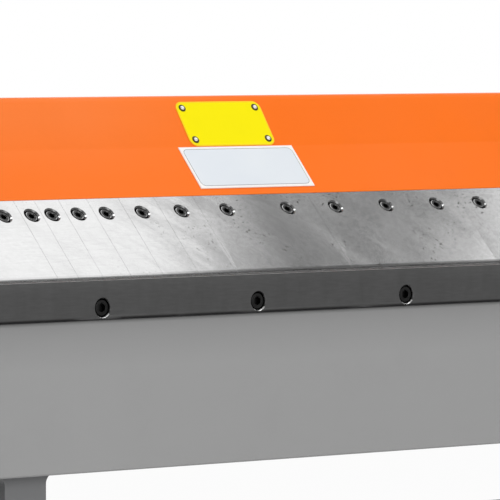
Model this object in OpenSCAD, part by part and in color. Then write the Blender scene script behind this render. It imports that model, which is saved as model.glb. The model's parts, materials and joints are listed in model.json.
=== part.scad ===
/* [Bend line] */
// Height of the bed above the floor
bed_z = 905; // [880:5:960]
// Distance of the bend line in front of the middle of the feet
bend_back = 150; // [140:2:160]
// Gap between the finger noses and the bed when the beam is down
jaw_gap = 0.5; // [0.3:0.1:1.5]
// How far the clamping beam lifts
lift = 47; // [30:1:50]
// Largest fold of the apron in degrees
fold_max = 135; // [90:1:135]

/* [Fingers] */
// Widths of the fingers from left to right
finger_w = [100, 75, 25, 30, 35, 40, 45, 50, 150, 200, 270];
// Distance of each finger's screws from its left edge
finger_screws_at = [[25, 75], [20, 53.5], [12.5], [12.5], [15], [15], [20], [25], [34, 114],
    [28, 97, 167], [27, 97, 167, 237]];
// Slope of the finger faces in degrees
finger_angle = 45; // [40:1:50]
// Length of the sloping finger face
finger_face = 104; // [90:1:115]
// Thickness of a finger
finger_t = 22; // [20:1:26]
// Set-back of the noses behind the bend line for the thickness of the sheet
nose_back = 2.5; // [2:0.1:4]
// Height of the small land at a finger's nose
nose_land = 1.5; // [0.5:0.1:1.5]
// Depth of the flat foot under a finger's nose
finger_foot = 16; // [10:1:18]
// Distance up the face at which the back of a finger starts
finger_heel = 28; // [24:1:32]
// Play between neighbouring fingers
finger_play = 0.2; // [0.1:0.05:0.5]
// Distance of the screw row below the upper edge of the fingers
screw_row = 20; // [16:1:24]

/* [Finger screws] */
// Diameter of a finger screw's head
finger_head_d = 13; // [12:0.5:14]
// Height of a finger screw's head
finger_head_h = 8; // [6:0.5:9]
// Width of the hexagon socket in a finger screw
finger_socket_w = 6; // [5:0.5:7]
// Depth of the hexagon socket in a finger screw
finger_socket_h = 4; // [3:0.5:5]
// Diameter of a finger screw's shank
finger_shank_d = 8; // [6:0.5:8]
// Diameter of a finger's counterbores
finger_cbore_d = 15; // [14.5:0.5:16]
// Chamfer around a finger's counterbores
finger_cbore_rim = 1.5; // [0.5:0.1:2]
// How far a finger screw's head lies below the face
finger_head_sink = 0.8; // [0.5:0.1:2]
// Clearance hole for a finger screw's shank
finger_hole_d = 9; // [8.5:0.5:10]

/* [Blade screws] */
// Diameter of a blade screw's head
head_d = 16; // [14:0.5:17]
// Height of a blade screw's head
head_h = 10; // [8:0.5:11]
// Width of the hexagon socket in a blade screw
socket_w = 8; // [6:0.5:9]
// Depth of the hexagon socket in a blade screw
socket_h = 5; // [3:0.5:6]
// Diameter of a blade screw's shank
shank_d = 10; // [8:0.5:10]
// Diameter of the blade's counterbores
cbore_d = 18; // [17.5:0.5:20]
// How far a blade screw's head lies below the face
head_sink = 1.6; // [0.5:0.1:3]
// Clearance hole for a blade screw's shank
shank_hole_d = 11; // [10.5:0.5:12]

/* [Clamping beam] */
// Slope of the beam's lower front facet in degrees
lower_angle = 47; // [45:1:52]
// Length of the lower front facet
lower_len = 65.5; // [58:0.5:75]
// Slope of the beam's upper front facet in degrees
upper_angle = 55; // [53:1:60]
// Length of the upper front facet
upper_len = 63; // [60:1:75]
// Depth of the beam's flat top
top_depth = 50; // [40:1:55]
// Thickness of the beam's sheet
sheet_t = 8; // [6:1:9]
// Outer radius of the beam's two upper edges
edge_r = 11; // [10:1:14]
// Outer radius of the shallow bend between the facets
facet_r = 10; // [6:1:40]
// Height of the beam's underside above the bed
throat_h = 44; // [40:1:50]
// Thickness of the bar that carries the fingers
seat_t = 20; // [16:1:24]
// Distance up the face at which the finger bar starts
seat_low = 44; // [40:1:50]
// Depth of the finger bar's underside
seat_foot = 40; // [34:1:42]
// Rise of the finger bar's underside in degrees
seat_rise = 15; // [8:1:20]
// How far the finger bar's shoulder reaches up inside the sheet
seat_shoulder = 30; // [20:1:40]
// Gap between the fingers' upper edges and the beam
shoulder_play = 0.4; // [0.2:0.1:1]
// Thickness of the inner ribs and end plates of the beam
rib_t = 10; // [8:1:12]
// Number of ribs inside the beam
rib_n = 4; // [2:1:6]

/* [Plates on the beam] */
// Width of the yellow plate
plate_w = 112; // [90:1:120]
// Height of the yellow plate
plate_h = 55; // [40:1:58]
// Corner radius of the yellow plate
plate_r = 9; // [4:1:12]
// Thickness of both plates
plate_t = 1; // [0.5:0.1:2]
// Width of the white label
label_w = 150; // [120:1:160]
// Height of the white label
label_h = 56; // [40:1:58]
// Middle of the plates along the machine, negative to the left
plate_x = -18.7; // [-40:0.1:0]
// Diameter of the rivet heads
rivet_d = 7; // [5:0.5:9]
// Height of the rivet heads
rivet_h = 1.6; // [1:0.1:2.5]
// Distance of the rivets from the plate's ends
rivet_in = 9; // [7:0.5:12]

/* [Folding blade] */
// Height of the dark folding blade
blade_h = 38; // [34:1:46]
// Thickness of the folding blade
blade_t = 15.5; // [14:0.5:18]
// Gap between the folding blade and the bed blade
blade_gap = 0.5; // [0.3:0.1:1]
// Height of the blade screws above the blade's lower edge
blade_screw_up = 11; // [10.5:0.5:18]
// Pitch of the inner blade screws
blade_pitch = 196; // [150:1:210]
// Distance of the outer blade screws from the blade's ends
blade_screw_end = 20; // [15:1:50]

/* [Apron] */
// Height of the apron's face below the folding blade
apron_h = 150.5; // [120:0.5:160]
// Thickness of the apron plate
apron_t = 20; // [16:1:22]
// How far the folding blade stands proud of the apron
blade_proud = 5; // [3:0.5:7]
// Height of the apron's upper edge above the foot of the blade
apron_up = 18.5; // [15:0.5:24]
// Chamfer along the apron's front edges
apron_chamfer = 1.5; // [0.5:0.5:3]
// Thickness of the rail along the back of the apron
rail_t = 10; // [8:1:12]
// Height of the rail
rail_h = 40; // [30:1:50]
// How far the rail stops short of the apron's ends
rail_short = 30; // [20:1:50]
// Distance of the rail's lugs from the middle
lug_x = 370; // [340:1:400]
// Width of a lug
lug_w = 50; // [40:1:60]
// How far the lugs reach below the apron
lug_drop = 92; // [86:1:100]
// Radius of the inner corners at the lugs
lug_r = 10; // [6:1:14]
// Diameter of the tie rod between the lugs
tie_d = 16; // [12:1:20]
// Height of the tie rod above the end of a lug
tie_up = 20; // [16:1:24]
// Thickness of the apron's ribs
apron_rib_t = 10; // [6:1:12]
// Depth of the apron's ribs
apron_rib_d = 28; // [20:1:30]
// Distance of the outer ribs from the apron's ends
apron_rib_end = 112; // [60:1:140]
// How far the ribs' thin ends stay below the foot of the blade
rib_top_drop = 16.5; // [5:0.5:30]

/* [Hinge] */
// Diameter of the hinge pins
pin_d = 36; // [30:1:40]
// Radius of the round end of an apron cheek
cheek_r = 40; // [34:1:42]
// Thickness of an apron cheek
cheek_t = 18; // [14:1:18]
// Depth of a cheek behind the bend line
cheek_back = 38; // [30:1:40]
// Gap between the fingers and the apron cheeks
cheek_gap = 2; // [1:0.5:3]
// Wall of the bronze bushes
bush_t = 5; // [4:0.5:6]
// Running clearance of pins and sliding parts
run_gap = 0.05; // [0.03:0.01:0.08]
// Clearance between flat faces that move past each other
slide_gap = 0.3; // [0.3:0.1:0.5]

/* [Bed] */
// Depth of the bed behind the bend line
bed_depth = 160; // [156:1:164]
// Thickness of the bed's table
table_t = 30; // [26:1:32]
// Distance of the table's front edge behind the bend line
table_front = 12; // [11:1:16]
// Depth of the hardened blade on the bed
bed_blade_d = 45; // [36:1:50]
// Thickness of the bed blade
bed_blade_t = 18; // [14:1:18]
// Height of the bed beam
bed_h = 190; // [160:5:190]
// Thickness of the bed beam's webs
web_t = 10; // [8:1:14]
// Distance of the bed beam's front web behind the bend line
web_front = 46; // [44:1:52]
// Distance of the outer countersunk screws from the bed blade's ends
bed_screw_end = 30; // [20:1:50]
// Distance of the countersunk screws behind the bend line
bed_screw_back = 28; // [26:1:34]
// Head diameter of the countersunk screws
csk_d = 16; // [14:1:18]

/* [Side frames] */
// Thickness of a side plate
side_t = 25; // [20:1:28]
// Room between the outer fingers and a side plate
side_room = 24; // [23:0.5:26]
// How far a side plate reaches behind the rear guide rail
side_behind = 25; // [20:1:35]
// How far a side plate reaches above the guide rails
side_over = 10; // [6:1:20]
// Bottom of a side plate below the bed
side_drop = 380; // [370:5:400]
// Radius of a side plate around the hinge
side_nose_r = 45; // [42:1:50]
// Depth of a guide rail
guide_d = 20; // [14:1:20]
// Depth of the slide block between the rails
block_d = 65; // [50:1:66]
// Distance of the slide block's middle behind the bed
block_behind = 12; // [10:1:14]
// Height of a slide block
block_h = 120; // [100:1:125]
// Height of the slide block above the bed
block_low = 40; // [36:1:44]

/* [Stand] */
// Width of a stand column
column_w = 82; // [70:1:84]
// Depth of a column at its top
column_top = 280; // [260:5:300]
// Height of the columns' upper ends below the bed
column_drop = 215; // [210:1:225]
// Sheet thickness of a column
column_t = 5; // [4:0.5:8]
// Width of a base plate
base_w = 120; // [110:1:140]
// Length of a base plate
base_l = 530; // [500:5:560]
// Thickness of a base plate
base_t = 12; // [8:1:16]
// How far a base plate reaches past a column at each end
toe_l = 65; // [50:5:80]
// Distance of an anchor hole from the end of a base plate
anchor_in = 25; // [20:1:35]
// Diameter of the anchor holes
anchor_d = 14; // [12:1:18]
// Height of the rear tie above the floor
tie_z = 200; // [180:5:300]
// Height of the rear tie
rear_tie_h = 90; // [60:5:120]
// Width of the rear tie's flanges
rear_tie_d = 40; // [30:1:50]
// Wall of the rear tie
rear_tie_t = 5; // [4:0.5:8]

/* [Frame bolts] */
// Shank diameter of the frame bolts
bolt_d = 12; // [10:1:14]
// Width of the frame bolts' hexagon heads
bolt_head_w = 19; // [17:1:22]
// Height of the frame bolts' heads
bolt_head_h = 8; // [6:0.5:9]
// Depth of the bolts' threads in the bed's end plates
bolt_thread = 14; // [10:1:16]
// Thickness of the bed's end plates
bed_end_t = 16; // [14:1:18]
// Distance of the bed's bolts from the edges of the end plates
bed_bolt_in = 20; // [15:1:25]
// Distance of the upper bed bolts below the table
bed_bolt_up = 25; // [20:1:30]
// Distance of the lower bed bolts above the bed beam's underside
bed_bolt_low = 40; // [30:1:50]
// Distance of the front stand bolts behind the bend line
stand_bolt_front = 50; // [40:1:60]
// Distance of the rear stand bolts in front of the side plates' back
stand_bolt_in = 28; // [24:1:34]
// Distance of the upper stand bolts below the columns' upper ends
stand_bolt_up = 47; // [35:1:60]
// Distance of the lower stand bolts above the side plates' lower ends
stand_bolt_low = 30; // [25:1:40]

/* [Counterweights and handles] */
// Gap between a column and a weight arm
arm_gap = 7; // [6:0.5:12]
// Thickness of a weight arm
arm_t = 12; // [10:1:14]
// Width of a weight arm
arm_w = 50; // [40:1:56]
// Radius of an arm's hub
hub_r = 34; // [30:1:38]
// Distance of a counterweight from the hinge
weight_at = 250; // [220:5:260]
// Diameter of a counterweight
weight_d = 120; // [100:5:130]
// Thickness of a counterweight
weight_t = 70; // [50:1:80]
// Forward lean of the handles in degrees
handle_lean = 22; // [20:1:35]
// Diameter of a handle bar
handle_d = 25; // [20:1:28]
// Distance of a handle's end from the hinge
handle_reach = 387; // [360:1:420]
// Length of a handle's socket
socket_len = 105; // [80:1:120]
// Wall of a handle's socket
socket_wall = 5.5; // [4:0.5:7]
// Distance from the hinge at which a socket starts
socket_from = 45; // [42:1:60]
// Diameter of a grip
grip_d = 34; // [30:1:40]
// Length of a grip
grip_len = 130; // [110:1:150]

/* [Angle stop] */
// Distance of the scale plate from the side plate
scale_gap = 16; // [12:1:18]
// Thickness of the scale plate
scale_t = 6; // [4:1:8]
// Width of the scale plate outside the middle of its slot
scale_rim = 30; // [26:1:34]
// Radius of the slot for the stop
stop_r = 105; // [95:1:110]
// Width of the slot
slot_w = 12; // [10:0.5:14]
// Direction of the dog at rest in degrees above the back
dog_rest = 200; // [195:1:205]
// Thickness of the dog along the hinge
dog_t = 16; // [14:1:18]
// Width of the dog
dog_w = 20; // [16:1:24]
// How far the dog reaches past the middle of the slot
dog_over = 12; // [8:1:13]
// Width of the stop block
stop_w = 22; // [18:1:26]
// How far the stop can be set back in degrees
stop_set = 110; // [60:5:110]
// Diameter of the stop's knob
stop_knob_d = 36; // [28:1:40]

/* [Pedal] */
// Height of the pedal shaft above the floor
pedal_z = 110; // [100:1:130]
// Distance of the pedal shaft in front of the columns' rear feet
pedal_in = 10; // [5:1:20]
// Diameter of the pedal shaft
shaft_d = 25; // [20:1:30]
// How far the treadle reaches in front of the base plates
tread_out = 46; // [25:1:65]
// Depth of the treadle
tread_d = 60; // [45:1:80]
// Thickness of the treadle
tread_t = 22; // [16:1:30]
// Height of the treadle's top above the floor
tread_z = 86; // [76:1:96]
// Thickness of the pedal arms
pedal_arm_t = 12; // [10:1:14]
// Height of the pedal arms
pedal_arm_h = 44; // [36:1:50]
// Diameter of the pull rods
rod_d = 12; // [10:1:12]
// Distance of the pull rods behind the bed
rod_behind = 22; // [20:1:24]
// Diameter of the pins between pedal and rods
link_pin_d = 16; // [12:1:18]
// Clearance around the link pins
link_gap = 0.4; // [0.3:0.1:0.8]
// How far the rods' slots let the pins drift
link_drift = 8; // [7:1:10]
// Width of the eyes at the rods' lower ends
eye_w = 46; // [40:1:52]
// Height of the eyes
eye_h = 38; // [34:1:44]

/* [Lift springs] */
// Wire diameter of the springs
wire_d = 3; // [2:0.5:3.5]
// Mean radius of the springs
spring_r = 9.5; // [9:0.5:10]
// Turns of a spring
spring_turns = 9; // [6:1:12]
// Depth of the springs' upper anchor below the bed
spring_high = 150; // [146:1:154]
// Length of a spring when the beam is down and the spring is drawn out
spring_len = 142; // [130:1:150]

/* [Back gauge] */
// Distance of the gauge rods from the middle
gauge_x = 300; // [250:5:350]
// Diameter of the gauge rods
gauge_rod_d = 20; // [16:1:24]
// Height of the gauge rods below the bed
gauge_rod_z = 40; // [36:1:50]
// How far the gauge rods reach behind the bed
gauge_rod_len = 299; // [280:1:310]
// Distance of the gauge's face behind the bed
gauge_gap = 140; // [130:5:150]
// Depth of the gauge bar
gauge_bar_d = 30; // [28:1:36]
// Height of the gauge bar
gauge_bar_h = 44; // [36:1:48]
// Width of the gauge bar
gauge_bar_w = 840; // [760:10:900]
// Thickness of the gauge's face plate
gauge_face_t = 6; // [4:1:8]
// Height of the face plate above the bed
gauge_face_up = 14; // [8:1:18]
// Diameter of the gauge's clamping knobs
gauge_knob_d = 30; // [24:1:36]

/* [Lift stops] */
// Diameter of the lift stop screws
lift_screw_d = 16; // [12:1:18]
// Thickness of the brackets over the slide blocks
bracket_t = 15; // [10:1:18]
// Diameter of the lift stops' knobs
lift_knob_d = 44; // [36:1:48]

/* [Hidden] */

fine = 48;
coarse = 24;
hexagon = 6;
bend_steps = 6;
// Overlap of two shapes that are joined into one solid
join = 1;
// How far a cut runs past the face that it opens
over = 2;

bend_half = total(finger_w) / 2;
cheek_x = bend_half + cheek_gap;
orange = "#fc7c30";
grey = "#989898";
dark_grey = "#6b6d70";
steel = "#b4b6b8";
dark_steel = "#4c4c4c";
black = "#202022";

function total(v, i = 0) = i < len(v) ? v[i] + total(v, i + 1) : 0;
function before(v, n, i = 0) = i < n ? v[i] + before(v, n, i + 1) : 0;
function along(a) = [cos(a), sin(a)];
// Unit vector to the right of the direction a
function right(a) = [sin(a), -cos(a)];
// Corner of a path that is set in by d from one that turns from direction a to b at p
function inset(p, a, b, d) = p + d * (right(a) + right(b)) / (1 + right(a) * right(b));
// Points of the arc of radius r that rounds a corner at p from direction a to b
function rounded(p, a, b, r) =
    let(turn = b < a ? 1 : -1,
        c = p - r * tan(abs(b - a) / 2) * along(a) + turn * r * right(a))
    [for (k = [0:bend_steps]) c - turn * r * right(a + (b - a) * k / bend_steps)];

// Section of the clamping beam, as depth behind the bend line and height above the bed
face_foot = [nose_back, jaw_gap + nose_land];
function on_face(s, d) = face_foot + s * along(finger_angle) + d * right(finger_angle);
sheet_foot = on_face(finger_face + shoulder_play, 0);
facet_corner = sheet_foot + lower_len * along(lower_angle);
top_front = facet_corner + upper_len * along(upper_angle);
top_back = top_front + [top_depth, 0];
back_foot = [top_back[0], throat_h];
outer_path = concat([sheet_foot], rounded(facet_corner, lower_angle, upper_angle, facet_r),
    rounded(top_front, upper_angle, 0, edge_r), rounded(top_back, 0, -90, edge_r), [back_foot]);
sheet_in = inset(sheet_foot, lower_angle, lower_angle, sheet_t);
top_front_in = inset(top_front, upper_angle, 0, sheet_t);
top_back_in = inset(top_back, 0, -90, sheet_t);
inner_top = concat(rounded(inset(facet_corner, lower_angle, upper_angle, sheet_t), lower_angle,
    upper_angle, facet_r + sheet_t), rounded(top_front_in, upper_angle, 0, edge_r - sheet_t),
    rounded(top_back_in, 0, -90, edge_r - sheet_t));
seat_back_d = finger_t + seat_t;
seat_p1 = on_face(seat_low, finger_t);
seat_p2 = seat_p1 + seat_foot * along(seat_rise);
seat_p3 = on_face(finger_face + seat_shoulder, seat_back_d);
seat_p4 = sheet_in + seat_shoulder * along(lower_angle);
seat_p6 = on_face(finger_face + shoulder_play, finger_t);
// Point of the finger bar's back face at height z
seat_dir = seat_p3 - seat_p2;
function seat_back(z) = seat_p2 + seat_dir * (z - seat_p2[1]) / seat_dir[1];
floor_low = seat_back(throat_h);
floor_top = seat_back(throat_h + sheet_t);
back_in = back_foot[0] - sheet_t;

// Apron section
blade_top = -blade_gap;
blade_foot = blade_top - blade_h;
blade_back = -blade_gap;
blade_face = blade_back - blade_t;
apron_face = blade_face + blade_proud;
apron_back = apron_face + apron_t;
apron_low = blade_foot - apron_h;
apron_top = blade_foot + apron_up;
blade_screw_z = blade_foot + blade_screw_up;
inner_screw_n = 4;
inner_screws = [for (k = [0:inner_screw_n - 1]) (k - (inner_screw_n - 1) / 2) * blade_pitch];
blade_screws_x = concat([-bend_half + blade_screw_end], inner_screws,
    [bend_half - blade_screw_end]);

// Side frames and stands
bush_r = pin_d / 2 + run_gap + bush_t;
side_x = bend_half + side_room;
rod_x = bend_half + side_room / 2;
rod_y = bed_depth + rod_behind;
column_x = side_x + side_t;
column_out = column_x + column_w;
column_z = bed_z - column_drop;
arm_x = column_out + arm_gap;
arm_out = arm_x + arm_t;
hub_wall = 8;
pin_end = arm_out + hub_wall;
// How far the guide rails reach past the slide block at the top of its travel
guide_spare = 8;
guide_h = block_low + block_h + lift + guide_spare;
block_y = bed_depth + block_behind;
block_front = block_y - block_d / 2;
block_back = block_y + block_d / 2;
block_top = block_low + block_h;
side_top = guide_h + side_over;
side_back = block_back + slide_gap + guide_d + side_behind;
bed_bolts = [for (z = [-table_t - bed_bolt_up, bed_bolt_low - bed_h],
    y = [web_front + bed_bolt_in, bed_depth - bed_bolt_in]) [y, z]];
stand_bolts = [for (z = [-column_drop - stand_bolt_up, stand_bolt_low - side_drop],
    y = [stand_bolt_front, side_back - stand_bolt_in]) [y, z]];
// How far the stand bolts reach into the columns
stand_bolt_end = 10;
bolt_hole_d = bolt_d + 1;
base_x = column_x + column_w / 2;
column_foot = base_l - 2 * toe_l;
anchor_y = base_l / 2 - anchor_in;
pedal_y = column_foot / 2 - pedal_in;
tread_front = base_l / 2 + tread_out;
// Half the depth of a column at height z
function column_half(z) =
    (column_foot + (column_top - column_foot) * (z - base_t) / (column_z - base_t)) / 2;
rear_tie_y = column_half(tie_z + rear_tie_h);

module at_bend() translate([0, -bend_back, bed_z]) children();
module both() {
    children();
    mirror([1, 0, 0]) children();
}
module side(right_side) {
    if (right_side) children();
    else mirror([1, 0, 0]) children();
}
// A section given as [depth, height] points, drawn out from x0 to x1
module drawn(x0, x1)
    translate([x0, 0, 0]) rotate([90, 0, 90]) linear_extrude(x1 - x0) children();
module rod_x(x0, x1, d)
    translate([x0, 0, 0]) rotate([0, 90, 0]) cylinder(d = d, h = x1 - x0, $fn = fine);
module block(low, high) translate(low) cube(high - low);
// Places what it holds on the finger face, with +Z out of the face
module face_at(x, s) {
    p = on_face(s, 0);
    translate([x, p[0], p[1]]) rotate([finger_angle, 0, 0]) children();
}
// Cap screw with the underside of its head at the origin.
// Its head and shank are [diameter, length] and its socket [width, depth]
module cap_screw(head, socket, shank) difference() {
    union() {
        cylinder(d = head[0], h = head[1], $fn = fine);
        translate([0, 0, -shank[1]]) cylinder(d = shank[0], h = shank[1] + join, $fn = coarse);
    }
    translate([0, 0, head[1] - socket[1]])
        cylinder(d = socket[0] / cos(180 / hexagon), h = socket[1] + over, $fn = hexagon);
}
// Hexagon bolt along +X with the underside of its head at the origin, its shank towards -X
module hex_bolt(shank) rotate([0, 90, 0]) {
    cylinder(d = bolt_head_w / cos(180 / hexagon), h = bolt_head_h, $fn = hexagon);
    translate([0, 0, -shank]) cylinder(d = bolt_d, h = shank + join, $fn = coarse);
}
// Knob with scalloped rim along +Z, its scallops as shares of its diameter
knob_lobes = 6;
scallop_at = 0.58;
scallop_d = 0.34;
module knob(d, h) difference() {
    cylinder(d = d, h = h, $fn = fine);
    for (k = [1:knob_lobes]) rotate([0, 0, k * 360 / knob_lobes])
        translate([d * scallop_at, 0, -over])
            cylinder(d = d * scallop_d, h = h + 2 * over, $fn = coarse);
}

// Fingers
module finger_section() polygon([[nose_back, jaw_gap], [finger_foot, jaw_gap],
    on_face(finger_heel, finger_t), on_face(finger_face, finger_t), on_face(finger_face, 0),
    face_foot]);
screw_s = finger_face - screw_row;
finger_cbore_h = finger_head_h + finger_head_sink;
function finger_left(i) = -bend_half + before(finger_w, i);
module finger(i) color(steel) at_bend() difference() {
    drawn(finger_left(i) + finger_play / 2, finger_left(i) + finger_w[i] - finger_play / 2)
        finger_section();
    for (x = finger_screws_at[i]) face_at(finger_left(i) + x, screw_s) {
        translate([0, 0, -finger_cbore_h])
            cylinder(d = finger_cbore_d, h = finger_cbore_h + over, $fn = fine);
        translate([0, 0, -finger_cbore_rim]) cylinder(d1 = finger_cbore_d,
            d2 = finger_cbore_d + 2 * (finger_cbore_rim + over), h = finger_cbore_rim + over,
            $fn = fine);
        translate([0, 0, -finger_t - over])
            cylinder(d = finger_hole_d, h = finger_t + over, $fn = coarse);
    }
}
finger_thread = 16;
module finger_screws() color(black) at_bend()
    for (i = [0:len(finger_w) - 1], x = finger_screws_at[i]) face_at(finger_left(i) + x, screw_s)
        translate([0, 0, -finger_cbore_h]) cap_screw([finger_head_d, finger_head_h],
            [finger_socket_w, finger_socket_h],
            [finger_shank_d, finger_t - finger_cbore_h + finger_thread]);
module finger_seat() color(dark_steel) at_bend() difference() {
    drawn(-bend_half, bend_half) polygon([seat_p1, seat_p2, seat_p3, seat_p4, sheet_in, seat_p6]);
    for (i = [0:len(finger_w) - 1], x = finger_screws_at[i]) face_at(finger_left(i) + x, screw_s)
        translate([0, 0, -seat_back_d - over])
            cylinder(d = finger_shank_d + 2 * run_gap, h = seat_back_d + over, $fn = coarse);
}

// Clamping beam
module beam_shell() color(orange) at_bend() drawn(-bend_half, bend_half)
    polygon(concat(outer_path, [[floor_low[0], throat_h], floor_top, [back_in, floor_top[1]]],
        [for (k = [len(inner_top) - 1:-1:0]) inner_top[k]], [sheet_in]));
module cavity() polygon(concat([floor_top, seat_p3, seat_p4], inner_top,
    [[back_in, floor_top[1]]]));
module beam_ribs() color(orange) at_bend() {
    for (x = [-bend_half, bend_half - rib_t]) drawn(x, x + rib_t) cavity();
    for (k = [1:rib_n]) {
        x = -bend_half + k * 2 * bend_half / (rib_n + 1);
        drawn(x - rib_t / 2, x + rib_t / 2) cavity();
    }
}
rod_in = 30;
module slide_blocks() color(dark_grey) at_bend() both() difference() {
    block([bend_half, block_front, block_low], [side_x - slide_gap, block_back, block_top]);
    translate([rod_x, rod_y, block_low - over])
        cylinder(d = rod_d + 2 * run_gap, h = rod_in + over, $fn = coarse);
}

// Plates on the beam's front
function on_lower(s) = sheet_foot + s * along(lower_angle);
function on_upper(s) = facet_corner + s * along(upper_angle);
facet_flat = facet_r * tan((upper_angle - lower_angle) / 2);
label_mid = lower_len - facet_flat - label_h / 2;
plate_mid = facet_flat + plate_h / 2;
module data_label() color("white") at_bend() {
    p = on_lower(label_mid);
    translate([plate_x, p[0], p[1]]) rotate([lower_angle, 0, 0])
        translate([-label_w / 2, -label_h / 2, 0]) cube([label_w, label_h, plate_t]);
}
module on_plate() {
    p = on_upper(plate_mid);
    translate([plate_x, p[0], p[1]]) rotate([upper_angle, 0, 0]) children();
}
module rivet_spots() for (sx = [-1, 1], sy = [-1, 1])
    translate([sx * (plate_w / 2 - rivet_in), sy * (plate_h / 2 - rivet_in), 0]) children();
module plate_outline() union() {
    square([plate_w - 2 * plate_r, plate_h], center = true);
    square([plate_w, plate_h - 2 * plate_r], center = true);
    for (sx = [-1, 1], sy = [-1, 1])
        translate([sx * (plate_w / 2 - plate_r), sy * (plate_h / 2 - plate_r)])
            circle(r = plate_r, $fn = fine);
}
module name_plate() color("yellow") at_bend() on_plate() linear_extrude(plate_t) plate_outline();
module plate_rivets() color("silver") at_bend() on_plate() rivet_spots()
    translate([0, 0, plate_t]) intersection() {
        cylinder(d = rivet_d, h = rivet_h, $fn = coarse);
        translate([0, 0, rivet_h - rivet_dome]) sphere(r = rivet_dome, $fn = coarse);
    }
rivet_dome = (pow(rivet_d / 2, 2) + pow(rivet_h, 2)) / (2 * rivet_h);

// Pull rods between the slide blocks and the pedal
eye_t = 12;
arm_front_z = tread_z - tread_t / 2;
link_lever = pedal_y + bend_back - rod_y;
link_fall = link_lever * (pedal_z - arm_front_z) / (pedal_y + tread_front - tread_d);
link_z = pedal_z - link_fall;
collar_t = 8;
collar_r = 11;
spring_foot = -spring_high - spring_len;
rod_top = block_low + rod_in;
eye_x = rod_x - eye_t / 2;
slot_h = link_pin_d + 2 * link_gap;
module pull_rods() color(steel) both() {
    difference() {
        union() {
            translate([rod_x, rod_y - bend_back, link_z + eye_h / 2 - join])
                cylinder(d = rod_d, h = bed_z + rod_top - link_z - eye_h / 2 + join, $fn = coarse);
            at_bend() translate([rod_x, rod_y, spring_foot - collar_t])
                cylinder(r = collar_r, h = collar_t, $fn = fine);
            translate([eye_x, rod_y - bend_back - eye_w / 2, link_z - eye_h / 2])
                cube([eye_t, eye_w, eye_h]);
        }
        translate([0, rod_y - bend_back, link_z]) {
            for (s = [-1, 1]) translate([0, s * link_drift / 2, 0])
                rod_x(eye_x - over, eye_x + eye_t + over, slot_h);
            block([eye_x - over, -link_drift / 2, -slot_h / 2],
                [eye_x + eye_t + over, link_drift / 2, slot_h / 2]);
        }
    }
}

// Lift springs that hang from their anchors and draw the rods' collars up
ring_steps = 8;
wire_sides = 6;
coil_r = wire_d / 2;
spring_rings = spring_turns * ring_steps;
spring_pitch = (spring_len - wire_d) / spring_turns;
function coil_point(k, j) =
    let(a = 360 * k / ring_steps, b = 360 * j / wire_sides, r = spring_r + coil_r * cos(b))
    [r * cos(a), r * sin(a), coil_r + spring_pitch * k / ring_steps + coil_r * sin(b)];
// Least distance between two neighbouring turns, over all their points
echo("least gap of a spring to itself", min([for (k = [0:ring_steps], i = [0:wire_sides - 1],
    j = [0:wire_sides - 1]) norm(coil_point(k + ring_steps, j) - coil_point(k, i))]));
module coil() polyhedron(
    points = [for (k = [0:spring_rings], j = [0:wire_sides - 1]) coil_point(k, j)],
    faces = concat([[for (j = [0:wire_sides - 1]) j]],
        [[for (j = [wire_sides - 1:-1:0]) spring_rings * wire_sides + j]],
        [for (k = [0:spring_rings - 1], j = [0:wire_sides - 1]) let(
            a = k * wire_sides + j, b = k * wire_sides + (j + 1) % wire_sides)
            [b, a, a + wire_sides]],
        [for (k = [0:spring_rings - 1], j = [0:wire_sides - 1]) let(
            a = k * wire_sides + j, b = k * wire_sides + (j + 1) % wire_sides)
            [b, a + wire_sides, b + wire_sides]]));
module lift_springs() color(steel) at_bend() both()
    translate([rod_x, rod_y, spring_foot]) coil();

// Apron
module apron_plate() color(grey) at_bend() difference() {
    drawn(-cheek_x, cheek_x) polygon([[apron_back, apron_low], [apron_back, apron_top],
        [blade_back, apron_top], [blade_back, blade_foot],
        [apron_face + apron_chamfer, blade_foot], [apron_face, blade_foot - apron_chamfer],
        [apron_face, apron_low + apron_chamfer], [apron_face + apron_chamfer, apron_low]]);
    for (x = blade_screws_x) translate([x, apron_back + over, blade_screw_z]) rotate([90, 0, 0])
        cylinder(d = shank_d + 2 * run_gap, h = apron_t + 2 * over, $fn = coarse);
}
cbore_h = head_h + head_sink;
module folding_blade() color(dark_steel) at_bend() difference() {
    block([-bend_half, blade_face, blade_foot], [bend_half, blade_back, blade_top]);
    for (x = blade_screws_x) translate([x, 0, blade_screw_z]) rotate([90, 0, 0]) {
        translate([0, 0, -blade_face - cbore_h])
            cylinder(d = cbore_d, h = cbore_h + over, $fn = fine);
        cylinder(d = shank_hole_d, h = blade_t + over, $fn = coarse);
    }
}
blade_thread = 8;
module blade_screws() color(black) at_bend() for (x = blade_screws_x)
    translate([x, blade_face + cbore_h, blade_screw_z]) rotate([90, 0, 0])
        cap_screw([head_d, head_h], [socket_w, socket_h],
            [shank_d, blade_t - cbore_h + blade_thread]);
rail_half = cheek_x - rail_short;
lug_low = apron_low - lug_drop;
tie_rod_z = lug_low + tie_up;
tie_block = 26;
tie_rod_y = apron_back + rail_t + tie_block / 2;
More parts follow.
